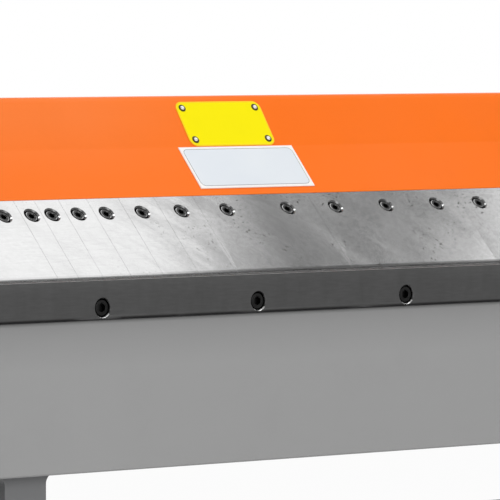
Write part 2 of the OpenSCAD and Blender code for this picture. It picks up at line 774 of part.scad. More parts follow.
module apron_rail() color(dark_grey) at_bend() difference() {
    union() {
        block([-rail_half, apron_back, apron_low],
            [rail_half, apron_back + rail_t, apron_low + rail_h]);
        both() {
            block([lug_x - lug_w / 2, apron_back, lug_low],
                [lug_x + lug_w / 2, apron_back + rail_t, apron_low + join]);
            block([lug_x - lug_w / 2 - lug_r, apron_back, apron_low - lug_r],
                [lug_x + lug_w / 2 + lug_r, apron_back + rail_t, apron_low + join]);
            block([lug_x - lug_w / 2, apron_back + rail_t - join, tie_rod_z - tie_block / 2],
                [lug_x + lug_w / 2, apron_back + rail_t + tie_block, tie_rod_z + tie_block / 2]);
        }
    }
    both() for (s = [-1, 1])
        translate([lug_x + s * (lug_w / 2 + lug_r), apron_back - over, apron_low - lug_r])
            rotate([-90, 0, 0]) cylinder(r = lug_r, h = rail_t + 2 * over, $fn = fine);
    both() translate([0, tie_rod_y, tie_rod_z])
        rod_x(lug_x - lug_w, lug_x + lug_w, tie_d + 2 * run_gap);
}
tie_nut_w = 24;
tie_nut_t = 12;
// How far the tie rod reaches past its outer nuts
tie_spare = 18;
tie_end = lug_x + lug_w / 2 + tie_nut_t + tie_spare;
module tie_rod() color(steel) at_bend() translate([0, tie_rod_y, tie_rod_z]) {
    rod_x(-tie_end, tie_end, tie_d);
    both() for (x = [lug_x - lug_w / 2 - tie_nut_t, lug_x + lug_w / 2]) translate([x, 0, 0])
        rotate([0, 90, 0])
            cylinder(d = tie_nut_w / cos(180 / hexagon), h = tie_nut_t, $fn = hexagon);
}
rib_foot = apron_low + rail_h;
rib_top = blade_foot - rib_top_drop;
apron_rib_n = 5;
apron_rib_pitch = 2 * (cheek_x - apron_rib_end) / (apron_rib_n - 1);
module apron_ribs() color(dark_grey) at_bend() for (k = [0:apron_rib_n - 1])
    translate([-cheek_x + apron_rib_end + k * apron_rib_pitch, 0, 0])
        drawn(-apron_rib_t / 2, apron_rib_t / 2) polygon([[apron_back, rib_foot],
            [apron_back + apron_rib_d, rib_foot], [apron_back + apron_rib_d, rib_foot + rail_h],
            [apron_back, rib_top]]);
// Depth inside the round end at which the front of a cheek starts
cheek_in = 6;
module cheek_outline() union() {
    circle(r = cheek_r, $fn = fine);
    polygon([[cheek_in - cheek_r, 0], [blade_face, blade_foot], [apron_face, apron_low],
        [cheek_back, apron_low], [cheek_back, 0]]);
}
module apron_cheeks() color(grey) at_bend() both() difference() {
    drawn(cheek_x, cheek_x + cheek_t) cheek_outline();
    rod_x(cheek_x - over, cheek_x + cheek_t + over, pin_d + 2 * run_gap);
}
module hinge_pins() color(steel) at_bend() both() rod_x(cheek_x, pin_end, pin_d);

// Weight arms, counterweights and handles
handle_x = arm_out + handle_d / 2 + socket_wall - join;
module along_handle() translate([handle_x, 0, 0]) rotate([handle_lean, 0, 0]) children();
stud_d = 20;
module weight_arms() color(dark_grey) at_bend() both() difference() {
    union() {
        rod_x(arm_x, pin_end, 2 * hub_r);
        block([arm_x, -arm_w / 2, 0], [arm_out, arm_w / 2, weight_at]);
        translate([0, 0, weight_at]) rod_x(arm_x, arm_out, arm_w);
        rotate([handle_lean, 0, 0]) block([arm_x, -arm_w / 2, 0],
            [arm_out, arm_w / 2, socket_from + socket_len]);
        along_handle() translate([0, 0, socket_from])
            cylinder(d = handle_d + 2 * socket_wall, h = socket_len, $fn = fine);
    }
    rod_x(arm_x - over, pin_end + over, pin_d + 2 * run_gap);
    along_handle() translate([0, 0, socket_from + socket_floor])
        cylinder(d = handle_d + 2 * run_gap, h = socket_len, $fn = fine);
    translate([0, 0, weight_at]) rod_x(arm_x - over, arm_out + over, stud_d + 2 * run_gap);
}
socket_floor = 10;
module counterweights() color(black) at_bend() both() translate([0, 0, weight_at]) {
    rod_x(arm_out, arm_out + weight_t, weight_d);
    rod_x(arm_x, arm_out + join, stud_d);
}
module handle_bars() color("silver") at_bend() both() along_handle()
    translate([0, 0, socket_from + socket_floor])
        cylinder(d = handle_d, h = handle_reach - socket_from - socket_floor - grip_cap, $fn = fine);
grip_cap = 6;
module grips() color(black) at_bend() both() along_handle() difference() {
    translate([0, 0, handle_reach - grip_len]) cylinder(d = grip_d, h = grip_len, $fn = fine);
    translate([0, 0, handle_reach - grip_len - over])
        cylinder(d = handle_d + 2 * run_gap, h = grip_len + over - grip_cap, $fn = fine);
}

// Bed
bed_screw_n = 7;
bed_screw_pitch = 2 * (bend_half - bed_screw_end) / (bed_screw_n - 1);
module bed_screw_spots() for (k = [0:bed_screw_n - 1])
    translate([-bend_half + bed_screw_end + k * bed_screw_pitch, bed_screw_back, 0]) children();
csk_h = (csk_d - shank_d) / 2;
module bed_blade() color(steel) at_bend() difference() {
    drawn(-bend_half, bend_half) polygon([[slide_gap, 0], [bed_blade_d, 0],
        [bed_blade_d, -bed_blade_t], [table_front, -bed_blade_t], [slide_gap, -bed_nose_h]]);
    bed_screw_spots() {
        translate([0, 0, -bed_blade_t - over])
            cylinder(d = shank_hole_d, h = bed_blade_t + 2 * over, $fn = coarse);
        translate([0, 0, -csk_h - csk_rim])
            cylinder(d1 = shank_d, d2 = csk_d + 2 * (csk_rim + over), h = csk_h + csk_rim + over,
                $fn = fine);
    }
}
bed_nose_h = 8;
csk_rim = 0.6;
csk_thread = 10;
module bed_blade_screws() color(black) at_bend() bed_screw_spots() difference() {
    union() {
        translate([0, 0, -csk_h - csk_rim]) cylinder(d1 = shank_d, d2 = csk_d, h = csk_h, $fn = fine);
        translate([0, 0, -bed_blade_t - csk_thread])
            cylinder(d = shank_d, h = bed_blade_t + csk_thread - csk_h, $fn = coarse);
    }
    translate([0, 0, -csk_h - csk_rim])
        cylinder(d = csk_socket / cos(180 / hexagon), h = csk_h + over, $fn = hexagon);
}
csk_socket = 6;
bed_end_x = side_x - bed_end_t;
bed_neck = bend_half - over;
module bed_beam() color(grey) at_bend() difference() {
    union() {
        drawn(-bed_neck, bed_neck) polygon([[table_front, -table_t],
            [bed_depth, -table_t], [bed_depth, 0], [bed_blade_d, 0],
            [bed_blade_d, -bed_blade_t], [table_front, -bed_blade_t]]);
        drawn(-bed_end_x - join, bed_end_x + join) difference() {
            translate([web_front, -bed_h]) square([bed_depth - web_front, bed_h - table_t + join]);
            translate([web_front + web_t, -bed_h + web_t])
                square([bed_depth - web_front - 2 * web_t, bed_h - table_t - web_t]);
        }
        both() block([bed_end_x, web_front, -bed_h], [side_x, bed_depth, -slide_gap]);
        both() block([bed_neck - join, web_front, -table_t],
            [bed_end_x + join, bed_depth, -slide_gap]);
    }
    bed_screw_spots() translate([0, 0, -table_t - over])
        cylinder(d = shank_d + 2 * run_gap, h = table_t + over, $fn = coarse);
    both() for (p = bed_bolts) translate([0, p[0], p[1]])
        rod_x(side_x - bolt_thread - over, side_x + over, bolt_d + 2 * run_gap);
    for (s = [-1, 1]) translate([s * gauge_x, bed_depth - web_t - over, -gauge_rod_z])
        rotate([-90, 0, 0]) cylinder(d = gauge_rod_d + 2 * run_gap, h = web_t + 2 * over, $fn = fine);
}

// Side frames
side_low = -side_drop;
side_waist = -column_drop;
side_inset = 10;
side_corner = 15;
side_neck = 20;
nose_angle = 60;
shoulder_z = 90;
side_shoulder = block_front - guide_d - side_neck;
module side_outline() union() {
    circle(r = side_nose_r, $fn = fine);
    polygon([[-side_nose_r, 0], -side_nose_r * along(nose_angle),
        [side_inset, side_waist], [side_inset, side_low], [side_back - side_inset, side_low],
        [side_back, side_waist], [side_back, side_top - side_corner],
        [side_back - side_corner, side_top], [side_shoulder + side_corner, side_top],
        [side_shoulder, side_top - side_corner], [side_shoulder, shoulder_z], [0, side_nose_r]]);
}
module side_plate(right_side) color(grey) at_bend() side(right_side) difference() {
    drawn(side_x, side_x + side_t) side_outline();
    rod_x(side_x - over, side_x + side_t + over, 2 * (bush_r + run_gap));
    for (p = concat(bed_bolts, stand_bolts)) translate([0, p[0], p[1]])
        rod_x(side_x - over, side_x + side_t + over, bolt_hole_d);
}
module hinge_bushes() color("#b08840") at_bend() both() difference() {
    rod_x(side_x, side_x + side_t, 2 * bush_r);
    rod_x(side_x - over, side_x + side_t + over, pin_d + 2 * run_gap);
}
module frame_bolts() color(dark_steel) at_bend() both() {
    for (p = bed_bolts) translate([side_x + side_t, p[0], p[1]]) hex_bolt(side_t + bolt_thread);
    for (p = stand_bolts) translate([side_x, p[0], p[1]]) mirror([1, 0, 0])
        hex_bolt(side_t + column_t + stand_bolt_end);
}
rail_from = 2;
module beam_guides() color(steel) at_bend() both() for (y = [block_front - slide_gap - guide_d,
    block_back + slide_gap]) block([cheek_x, y, rail_from], [side_x, y + guide_d, guide_h]);
module guide_brackets() color(dark_grey) at_bend() both() {
    difference() {
        block([cheek_x, block_front, side_top], [side_x + side_t, block_back, side_top + bracket_t]);
        translate([rod_x, block_y, side_top - over])
            cylinder(d = lift_screw_d + 2 * run_gap, h = bracket_t + 2 * over, $fn = fine);
    }
    difference() {
        block([cheek_x, rod_y - spring_seat, -spring_high],
            [side_x, rod_y + spring_seat, spring_seat_t - spring_high]);
        translate([rod_x, rod_y, -spring_high - over])
            cylinder(d = rod_d + 2 * slide_gap, h = spring_seat_t + 2 * over, $fn = fine);
    }
}
spring_seat = 16;
spring_seat_t = 10;

// Stands
module column_outline(wall) polygon([
    [-column_foot / 2 + wall, base_t], [-column_top / 2 + wall, column_z - wall],
    [column_top / 2 - wall, column_z - wall], [column_foot / 2 - wall, base_t]]);
module stand(right_side) color(grey) side(right_side) difference() {
    drawn(column_x, column_out) column_outline(0);
    drawn(column_x + column_t, column_out - column_t) difference() {
        translate([0, -join]) column_outline(column_t);
        translate([-column_foot, 0]) square([2 * column_foot, base_t - 2 * join]);
    }
    at_bend() for (p = stand_bolts) translate([0, p[0], p[1]])
        rod_x(column_x - over, column_x + column_t + over, bolt_hole_d);
}
module base_plates() color(dark_grey) both() difference() {
    block([base_x - base_w / 2, -base_l / 2, 0], [base_x + base_w / 2, base_l / 2, base_t]);
    for (s = [-1, 1]) translate([base_x, s * anchor_y, -over])
        cylinder(d = anchor_d, h = base_t + 2 * over, $fn = fine);
}
module rear_tie() color(grey) drawn(-column_x, column_x) difference() {
    translate([rear_tie_y - rear_tie_d, tie_z]) square([rear_tie_d, rear_tie_h]);
    translate([rear_tie_y - rear_tie_d - over, tie_z + rear_tie_t])
        square([rear_tie_d - rear_tie_t + over, rear_tie_h - 2 * rear_tie_t]);
}

// Angle scale, dog and stop
scale_x = side_x + side_t + scale_gap;
scale_out = scale_x + scale_t;
scale_r = stop_r + scale_rim;
scale_from_angle = 15;
scale_to_angle = 205;
stop_x = scale_out + slide_gap;
dog_gap = 4;
dog_x = scale_out + dog_gap;
stop_half = asin(stop_w / 2 / stop_r);
dog_half = asin(dog_w / 2 / stop_r);
stop_spare_angle = 1.5;
stop_rest = dog_rest - fold_max - dog_half - stop_half - stop_spare_angle;
slot_from = stop_rest;
slot_to = stop_rest + stop_set;
boss_d = 20;
bosses = [[60, 50], [90, 40]];
scale_ring = 14;
spacer_ring = 10;
pin_clear = 2;
function arc(c, r, a0, a1) = [for (k = [0:coarse]) c + r * along(a0 + (a1 - a0) * k / coarse)];
module sector(r, a0, a1) polygon(concat([[0, 0]], arc([0, 0], r, a0, a1)));
module angle_scale() color("silver") at_bend() difference() {
    union() {
        drawn(scale_x, scale_out) intersection() {
            circle(r = scale_r, $fn = 2 * fine);
            union() {
                sector(scale_r * 2, scale_from_angle, scale_to_angle);
                circle(r = bush_r + scale_ring, $fn = fine);
            }
        }
        rod_x(side_x + side_t, scale_x + join, 2 * (bush_r + spacer_ring));
        for (p = bosses) translate([0, p[0], p[1]])
            rod_x(side_x + side_t, scale_x + join, boss_d);
    }
    rod_x(side_x, scale_out + over, pin_d + 2 * pin_clear);
    drawn(scale_x - over, scale_out + over) polygon(concat(
        arc([0, 0], stop_r + slot_w / 2, slot_from, slot_to),
        arc(stop_r * along(slot_to), slot_w / 2, slot_to, slot_to + 180),
        arc([0, 0], stop_r - slot_w / 2, slot_to, slot_from),
        arc(stop_r * along(slot_from), slot_w / 2, slot_from + 180, slot_from + 360)));
}
dog_ring = 10;
dog_reach = stop_r + dog_over;
module stop_dog() color(dark_steel) at_bend() difference() {
    union() {
        rod_x(dog_x, dog_x + dog_t, pin_d + 2 * dog_ring);
        rotate([dog_rest, 0, 0]) block([dog_x, pin_d / 2, -dog_w / 2],
            [dog_x + dog_t, dog_reach, dog_w / 2]);
    }
    rod_x(dog_x - over, dog_x + dog_t + over, pin_d + 2 * run_gap);
}
stop_t = 22;
stop_in = 12;
stud_r = slot_w / 2 - slide_gap;
washer_t = 5;
washer_d = 20;
module stop_turn() rotate([stop_rest, 0, 0]) translate([0, stop_r, 0]) children();
knob_stem = 8;
module angle_stop() color("silver") at_bend() stop_turn() difference() {
    union() {
        block([stop_x, -stop_w / 2, -stop_w / 2], [stop_x + stop_t, stop_w / 2, stop_w / 2]);
        rod_x(scale_x - slide_gap - join, stop_x + join, 2 * stud_r);
        rod_x(scale_x - slide_gap - washer_t, scale_x - slide_gap, washer_d);
    }
    rod_x(stop_x + stop_t - stop_in, stop_x + stop_t + over, knob_stem + 2 * run_gap);
}
stop_knob_t = 14;
module stop_knob() color(black) at_bend() stop_turn() {
    translate([stop_x + stop_t + slide_gap, 0, 0]) rotate([0, 90, 0]) knob(stop_knob_d, stop_knob_t);
    rod_x(stop_x + stop_t - stop_in + join, stop_x + stop_t + slide_gap + join, knob_stem);
}

// Pedal
bearing_t = 16;
bearing_w = 60;
arm_in = eye_x + eye_t + join;
module pedal_bearings() color(dark_grey) both() difference() {
    block([column_x - bearing_t, pedal_y - bearing_w / 2, base_t],
        [column_x, pedal_y + bearing_w / 2, pedal_z + bearing_w / 2]);
    translate([0, pedal_y, pedal_z]) rod_x(column_x - bearing_t - over, column_x + over,
        shaft_d + 2 * run_gap);
}
tread_half = arm_in + pedal_arm_t;
shaft_end = column_x - over;
arm_drop = tread_front - tread_d;
module pedal_frame() color(black) {
    translate([0, pedal_y, pedal_z]) rod_x(-shaft_end, shaft_end, shaft_d);
    both() {
        drawn(arm_in, arm_in + pedal_arm_t) polygon([
            [pedal_y + pedal_arm_h / 2, pedal_z - pedal_arm_h / 2],
            [pedal_y + pedal_arm_h / 2, pedal_z + pedal_arm_h / 2],
            [-arm_drop - join, tread_z], [-arm_drop - join, tread_z - tread_t]]);
        translate([0, rod_y - bend_back, link_z])
            rod_x(eye_x - join, arm_in + join, link_pin_d);
    }
    block([-tread_half, -tread_front, tread_z - tread_t], [tread_half, -arm_drop, tread_z]);
}
mat_t = 4;
mat_in = 12;
module pedal_tread() color(dark_steel)
    block([-tread_half + mat_in, -tread_front + mat_in / 2, tread_z],
        [tread_half - mat_in, -arm_drop - mat_in / 2, tread_z + mat_t]);

// Back gauge
module gauge_rods() color("silver") at_bend() for (s = [-1, 1])
    translate([s * gauge_x, bed_depth - web_t, -gauge_rod_z]) rotate([-90, 0, 0])
        cylinder(d = gauge_rod_d, h = gauge_rod_len + web_t, $fn = fine);
gauge_y = bed_depth + gauge_gap;
gauge_low = -gauge_rod_z - gauge_bar_h / 2;
gauge_high = -gauge_rod_z + gauge_bar_h / 2;
clamp_d = 10;
module gauge_bar() color(dark_grey) at_bend() difference() {
    union() {
        block([-gauge_bar_w / 2, gauge_y + gauge_face_t, gauge_low],
            [gauge_bar_w / 2, gauge_y + gauge_bar_d, gauge_high]);
        block([-gauge_bar_w / 2, gauge_y, gauge_low], [gauge_bar_w / 2,
            gauge_y + gauge_face_t + join, gauge_face_up]);
    }
    for (s = [-1, 1]) {
        translate([s * gauge_x, gauge_y - over, -gauge_rod_z]) rotate([-90, 0, 0])
            cylinder(d = gauge_rod_d + 2 * run_gap, h = gauge_bar_d + 2 * over, $fn = fine);
        translate([s * gauge_x, gauge_y + gauge_clamp_y, gauge_low - over])
            cylinder(d = clamp_d + 2 * run_gap, h = gauge_bar_h / 2, $fn = coarse);
    }
}
gauge_clamp_y = 18;
gauge_knob_t = 16;
module gauge_knob(right_side) color(black) at_bend() side(right_side)
    translate([gauge_x, gauge_y + gauge_clamp_y, 0]) {
        translate([0, 0, gauge_low - slide_gap - gauge_knob_t]) knob(gauge_knob_d, gauge_knob_t);
        translate([0, 0, gauge_low - slide_gap - join])
            cylinder(d = clamp_d, h = gauge_bar_h / 2 - gauge_rod_d / 2 - slide_gap + join,
                $fn = coarse);
    }

// Lift stops above the slide blocks
lift_knob_t = 18;
lift_tip = block_top + lift + slide_gap;
lift_knob_gap = 14;
lift_knob_z = side_top + bracket_t + lift_knob_gap;
module lift_screw(right_side) color(black) at_bend() side(right_side)
    translate([rod_x, block_y, 0]) {
        translate([0, 0, lift_tip])
            cylinder(d = lift_screw_d, h = lift_knob_z - lift_tip + join, $fn = fine);
        translate([0, 0, lift_knob_z]) knob(lift_knob_d, lift_knob_t);
    }

stand(false);  // stand_left
stand(true);  // stand_right
base_plates();
rear_tie();
side_plate(false);  // side_plate_left
side_plate(true);  // side_plate_right
bed_beam();
bed_blade();
bed_blade_screws();
frame_bolts();
hinge_bushes();
beam_guides();
guide_brackets();
lift_springs();
angle_scale();
gauge_rods();
pedal_bearings();
beam_shell();
beam_ribs();
finger_seat();
finger(0);  // finger_01
finger(1);  // finger_02
finger(2);  // finger_03
finger(3);  // finger_04
finger(4);  // finger_05
finger(5);  // finger_06
finger(6);  // finger_07
finger(7);  // finger_08
finger(8);  // finger_09
finger(9);  // finger_10
finger(10);  // finger_11
finger_screws();
name_plate();
plate_rivets();
data_label();
slide_blocks();
pull_rods();
apron_plate();
apron_rail();
apron_ribs();
folding_blade();
blade_screws();
apron_cheeks();
hinge_pins();
weight_arms();
counterweights();
handle_bars();
grips();
tie_rod();
stop_dog();
pedal_frame();
pedal_tread();
gauge_bar();
gauge_knob(false);  // gauge_knob_left
gauge_knob(true);  // gauge_knob_right
angle_stop();
stop_knob();
lift_screw(false);  // lift_screw_left
lift_screw(true);  // lift_screw_right
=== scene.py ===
# %% [markdown]
# A sheet metal folding machine. The steel frame, its joints and its sizes come from the packed
# model, which this script never changes. Here each piece gets its real edges and its finish, and
# the small things that a maker sees up close: socket screws, rivets, marks on the scale, ribs on
# the pedal's mat.

# %% Load the frame
import json
import math

import bpy
import bmesh
from mathutils import Euler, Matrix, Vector

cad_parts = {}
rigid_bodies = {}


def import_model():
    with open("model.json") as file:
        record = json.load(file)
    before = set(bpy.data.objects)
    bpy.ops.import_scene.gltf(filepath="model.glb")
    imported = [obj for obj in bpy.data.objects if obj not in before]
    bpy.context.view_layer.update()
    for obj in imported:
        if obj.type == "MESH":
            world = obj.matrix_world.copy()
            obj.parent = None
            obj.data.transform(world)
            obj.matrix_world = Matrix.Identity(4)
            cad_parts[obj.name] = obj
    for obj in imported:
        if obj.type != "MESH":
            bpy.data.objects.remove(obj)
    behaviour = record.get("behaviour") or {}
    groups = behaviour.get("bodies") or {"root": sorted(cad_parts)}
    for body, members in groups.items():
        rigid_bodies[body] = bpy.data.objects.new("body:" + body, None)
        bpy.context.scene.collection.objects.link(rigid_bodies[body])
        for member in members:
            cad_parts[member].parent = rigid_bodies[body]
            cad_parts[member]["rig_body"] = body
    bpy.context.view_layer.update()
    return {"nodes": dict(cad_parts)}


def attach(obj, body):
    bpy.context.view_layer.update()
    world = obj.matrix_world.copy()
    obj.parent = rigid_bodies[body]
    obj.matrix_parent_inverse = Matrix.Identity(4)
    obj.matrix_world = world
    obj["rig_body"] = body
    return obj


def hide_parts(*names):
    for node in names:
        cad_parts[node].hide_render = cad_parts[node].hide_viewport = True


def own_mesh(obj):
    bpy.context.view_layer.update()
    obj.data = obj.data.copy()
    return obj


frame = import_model()
nodes = frame["nodes"]

# %% [markdown]
# The machine is drawn in millimetres, so lengths are written in millimetres here too and turned
# into metres by one factor. The bend line is the natural place to measure from, because fingers,
# blade and hinge all meet there. The beam's front leans back in three faces: that of the fingers,
# then the lower facet with the white label, then the upper facet with the yellow plate.

# %% Sizes shared by several pieces
MM = 0.001
BEND_LINE = Vector((0, -150, 905))
BEND_HALF = 510
FACE_ANGLE = math.radians(45)
FACE_FOOT = Vector((0, 2.5, 2.0))
FACE_LENGTH = 104
SHOULDER_PLAY = 0.4
LOWER_ANGLE = math.radians(47)
LOWER_LENGTH = 65.5
UPPER_ANGLE = math.radians(55)


def up_slope(angle, distance):
    """A step of that many millimetres up a face that leans back."""
    return Vector((0, math.cos(angle), math.sin(angle))) * distance


def off_slope(angle, distance):
    """A step of that many millimetres straight out of such a face."""
    return Vector((0, -math.sin(angle), math.cos(angle))) * distance


def at_bend(x, y, z):
    """A point in metres from millimetres measured at the bend line."""
    return (BEND_LINE + Vector((x, y, z))) * MM


SHEET_FOOT = FACE_FOOT + up_slope(FACE_ANGLE, FACE_LENGTH + SHOULDER_PLAY)
FACET_CORNER = SHEET_FOOT + up_slope(LOWER_ANGLE, LOWER_LENGTH)
print("beam starts at", tuple(round(v, 1) for v in SHEET_FOOT))

# %% [markdown]
# Operators act on whatever is selected, so each step starts by dropping the selection and picking
# one piece. These few helpers keep that habit in one place. A finished piece has its place in its
# mesh, which is what `settle` does.

# %% Helpers for modelling
SHARP_ANGLE = math.radians(30)


def drop_selection():
    if bpy.context.object and bpy.context.object.mode != "OBJECT":
        bpy.ops.object.mode_set(mode="OBJECT")
    bpy.ops.object.select_all(action="DESELECT")


def pick(piece):
    drop_selection()
    piece.select_set(True)
    bpy.context.view_layer.objects.active = piece
    return piece


def settle(piece, at=(0, 0, 0), turn=(0, 0, 0)):
    """Turns and moves a piece, then writes its place into its mesh."""
    piece.rotation_euler = Euler(turn)
    piece.location = Vector(at)
    pick(piece)
    bpy.ops.object.transform_apply(location=True, rotation=True, scale=True)
    return piece


def finish_with(piece, kind, **settings):
    """Adds a modifier, sets it and applies it."""
    pick(piece)
    modifier = piece.modifiers.new(kind.lower(), kind)
    for key, value in settings.items():
        setattr(modifier, key, value)
    bpy.ops.object.modifier_apply(modifier=modifier.name)
    return piece


def cut(piece, tool):
    """Takes the tool's shape out of a piece, and the tool away."""
    finish_with(piece, "BOOLEAN", operation="DIFFERENCE", solver="EXACT", object=tool)
    bpy.data.objects.remove(tool)
    return smooth(piece)


def smooth(piece, angle=35):
    pick(piece)
    bpy.ops.object.shade_smooth_by_angle(angle=math.radians(angle))
    return piece


def round_edges(piece, width, segments=2):
    """Breaks the sharp edges, as a file or a cutter does, and keeps the flats flat."""
    finish_with(piece, "BEVEL", width=width * MM, segments=segments, limit_method="ANGLE",
                angle_limit=SHARP_ANGLE)
    smooth(piece)
    return finish_with(piece, "WEIGHTED_NORMAL", keep_sharp=True)


def joined(name, pieces):
    """One piece from several, with the first one's name changed to name."""
    drop_selection()
    for piece in pieces:
        piece.select_set(True)
    bpy.context.view_layer.objects.active = pieces[0]
    if len(pieces) > 1:
        bpy.ops.object.join()
    pieces[0].name = name
    pieces[0].data.name = name
    return pieces[0]


def copies(name, master, places):
    """Copies of a piece, each with its own mesh, at (point, turn) places, joined into one piece."""
    made = []
    for point, turn in places:
        copy = master.copy()
        copy.data = master.data.copy()
        bpy.context.scene.collection.objects.link(copy)
        made.append(settle(copy, point, turn))
    bpy.data.objects.remove(master)
    return joined(name, made)


def both_sides(x, y, z, turn=(0, 0, 0)):
    """Two places for copies, one on the left of the machine's middle and one on the right."""
    return [(at_bend(side * x, y, z), turn) for side in (-1, 1)]


def block(name, size, at=(0, 0, 0)):
    """A box of that size in millimetres round a point in metres."""
    drop_selection()
    bpy.ops.mesh.primitive_cube_add(size=1, location=(0, 0, 0))
    piece = bpy.context.object
    piece.name = name
    piece.scale = [length * MM for length in size]
    return settle(piece, at)


def bar(name, size, rounding):
    """A slim box round the origin with rounded edges."""
    return round_edges(block(name, size), rounding)


# %% [markdown]
# Most parts of the machine are sawn, milled and bolted plates whose shape the frame already has.
# What they lack is the small chamfer that every real edge has, and which catches the light. A copy
# of the frame's mesh is merged, its flat faces are made whole again, and its edges are rounded.

# %% Plates with broken edges
MERGE_WITHIN = 0.002
FLAT_WITHIN = math.radians(0.2)


def edged(node, width, finish, segments=2):
    """A copy of a frame node with rounded edges, shown in its place."""
    piece = bpy.data.objects.new(node + "_edged", nodes[node].data.copy())
    bpy.context.scene.collection.objects.link(piece)
    pick(piece)
    bpy.ops.mesh.customdata_custom_splitnormals_clear()
    bpy.ops.object.mode_set(mode="EDIT")
    bpy.ops.mesh.select_all(action="SELECT")
    bpy.ops.mesh.remove_doubles(threshold=MERGE_WITHIN * MM)
    bpy.ops.mesh.dissolve_limited(angle_limit=FLAT_WITHIN)
    bpy.ops.object.mode_set(mode="OBJECT")
    round_edges(piece, width, segments)
    return dress(piece, finish, nodes[node]["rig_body"], node)


def dress(piece, finish, body, *replaced):
    """Gives a piece its finish, lets it move with a body and hides what it stands for."""
    if finish is not None:
        piece.data.materials.clear()
        piece.data.materials.append(finish)
    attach(piece, body)
    if replaced:
        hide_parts(*replaced)
    return piece


# %% [markdown]
# Round things are turned on a lathe. A disc is drawn out along its axis step by step, and each
# step has its own radius, so a list of radius and height pairs is all that a knob, a rivet or a
# grip needs.

# %% Turned pieces


def turned(name, profile, sides=48):
    """A closed piece of revolution round Z from (radius, height) pairs in millimetres."""
    drop_selection()
    radius, height = profile[0]
    bpy.ops.mesh.primitive_circle_add(vertices=sides, radius=radius * MM, fill_type="NGON",
                                      location=(0, 0, 0))
    piece = bpy.context.object
    piece.name = name
    bpy.ops.object.mode_set(mode="EDIT")
    bpy.ops.transform.translate(value=(0, 0, height * MM))
    for next_radius, next_height in profile[1:]:
        bpy.ops.mesh.extrude_region_move(
            TRANSFORM_OT_translate={"value": (0, 0, (next_height - height) * MM)})
        share = next_radius / radius
        bpy.ops.transform.resize(value=(share, share, 1), center_override=(0, 0, next_height * MM))
        radius, height = next_radius, next_height
    bpy.ops.mesh.select_all(action="SELECT")
    bpy.ops.mesh.normals_make_consistent(inside=False)
    bpy.ops.object.mode_set(mode="OBJECT")
    return smooth(piece)


# %% [markdown]
# A finish is a little network of nodes. Nearly all of them start the same way: noise in the
# piece's own coordinates, squeezed into the narrow range that the real surface varies in. These
# helpers make a principled surface, a noise and a ramp, so that each finish below reads as a
# recipe. Noise scales are counted per metre.

# %% Helpers for finishes
SLOT_OF = {}


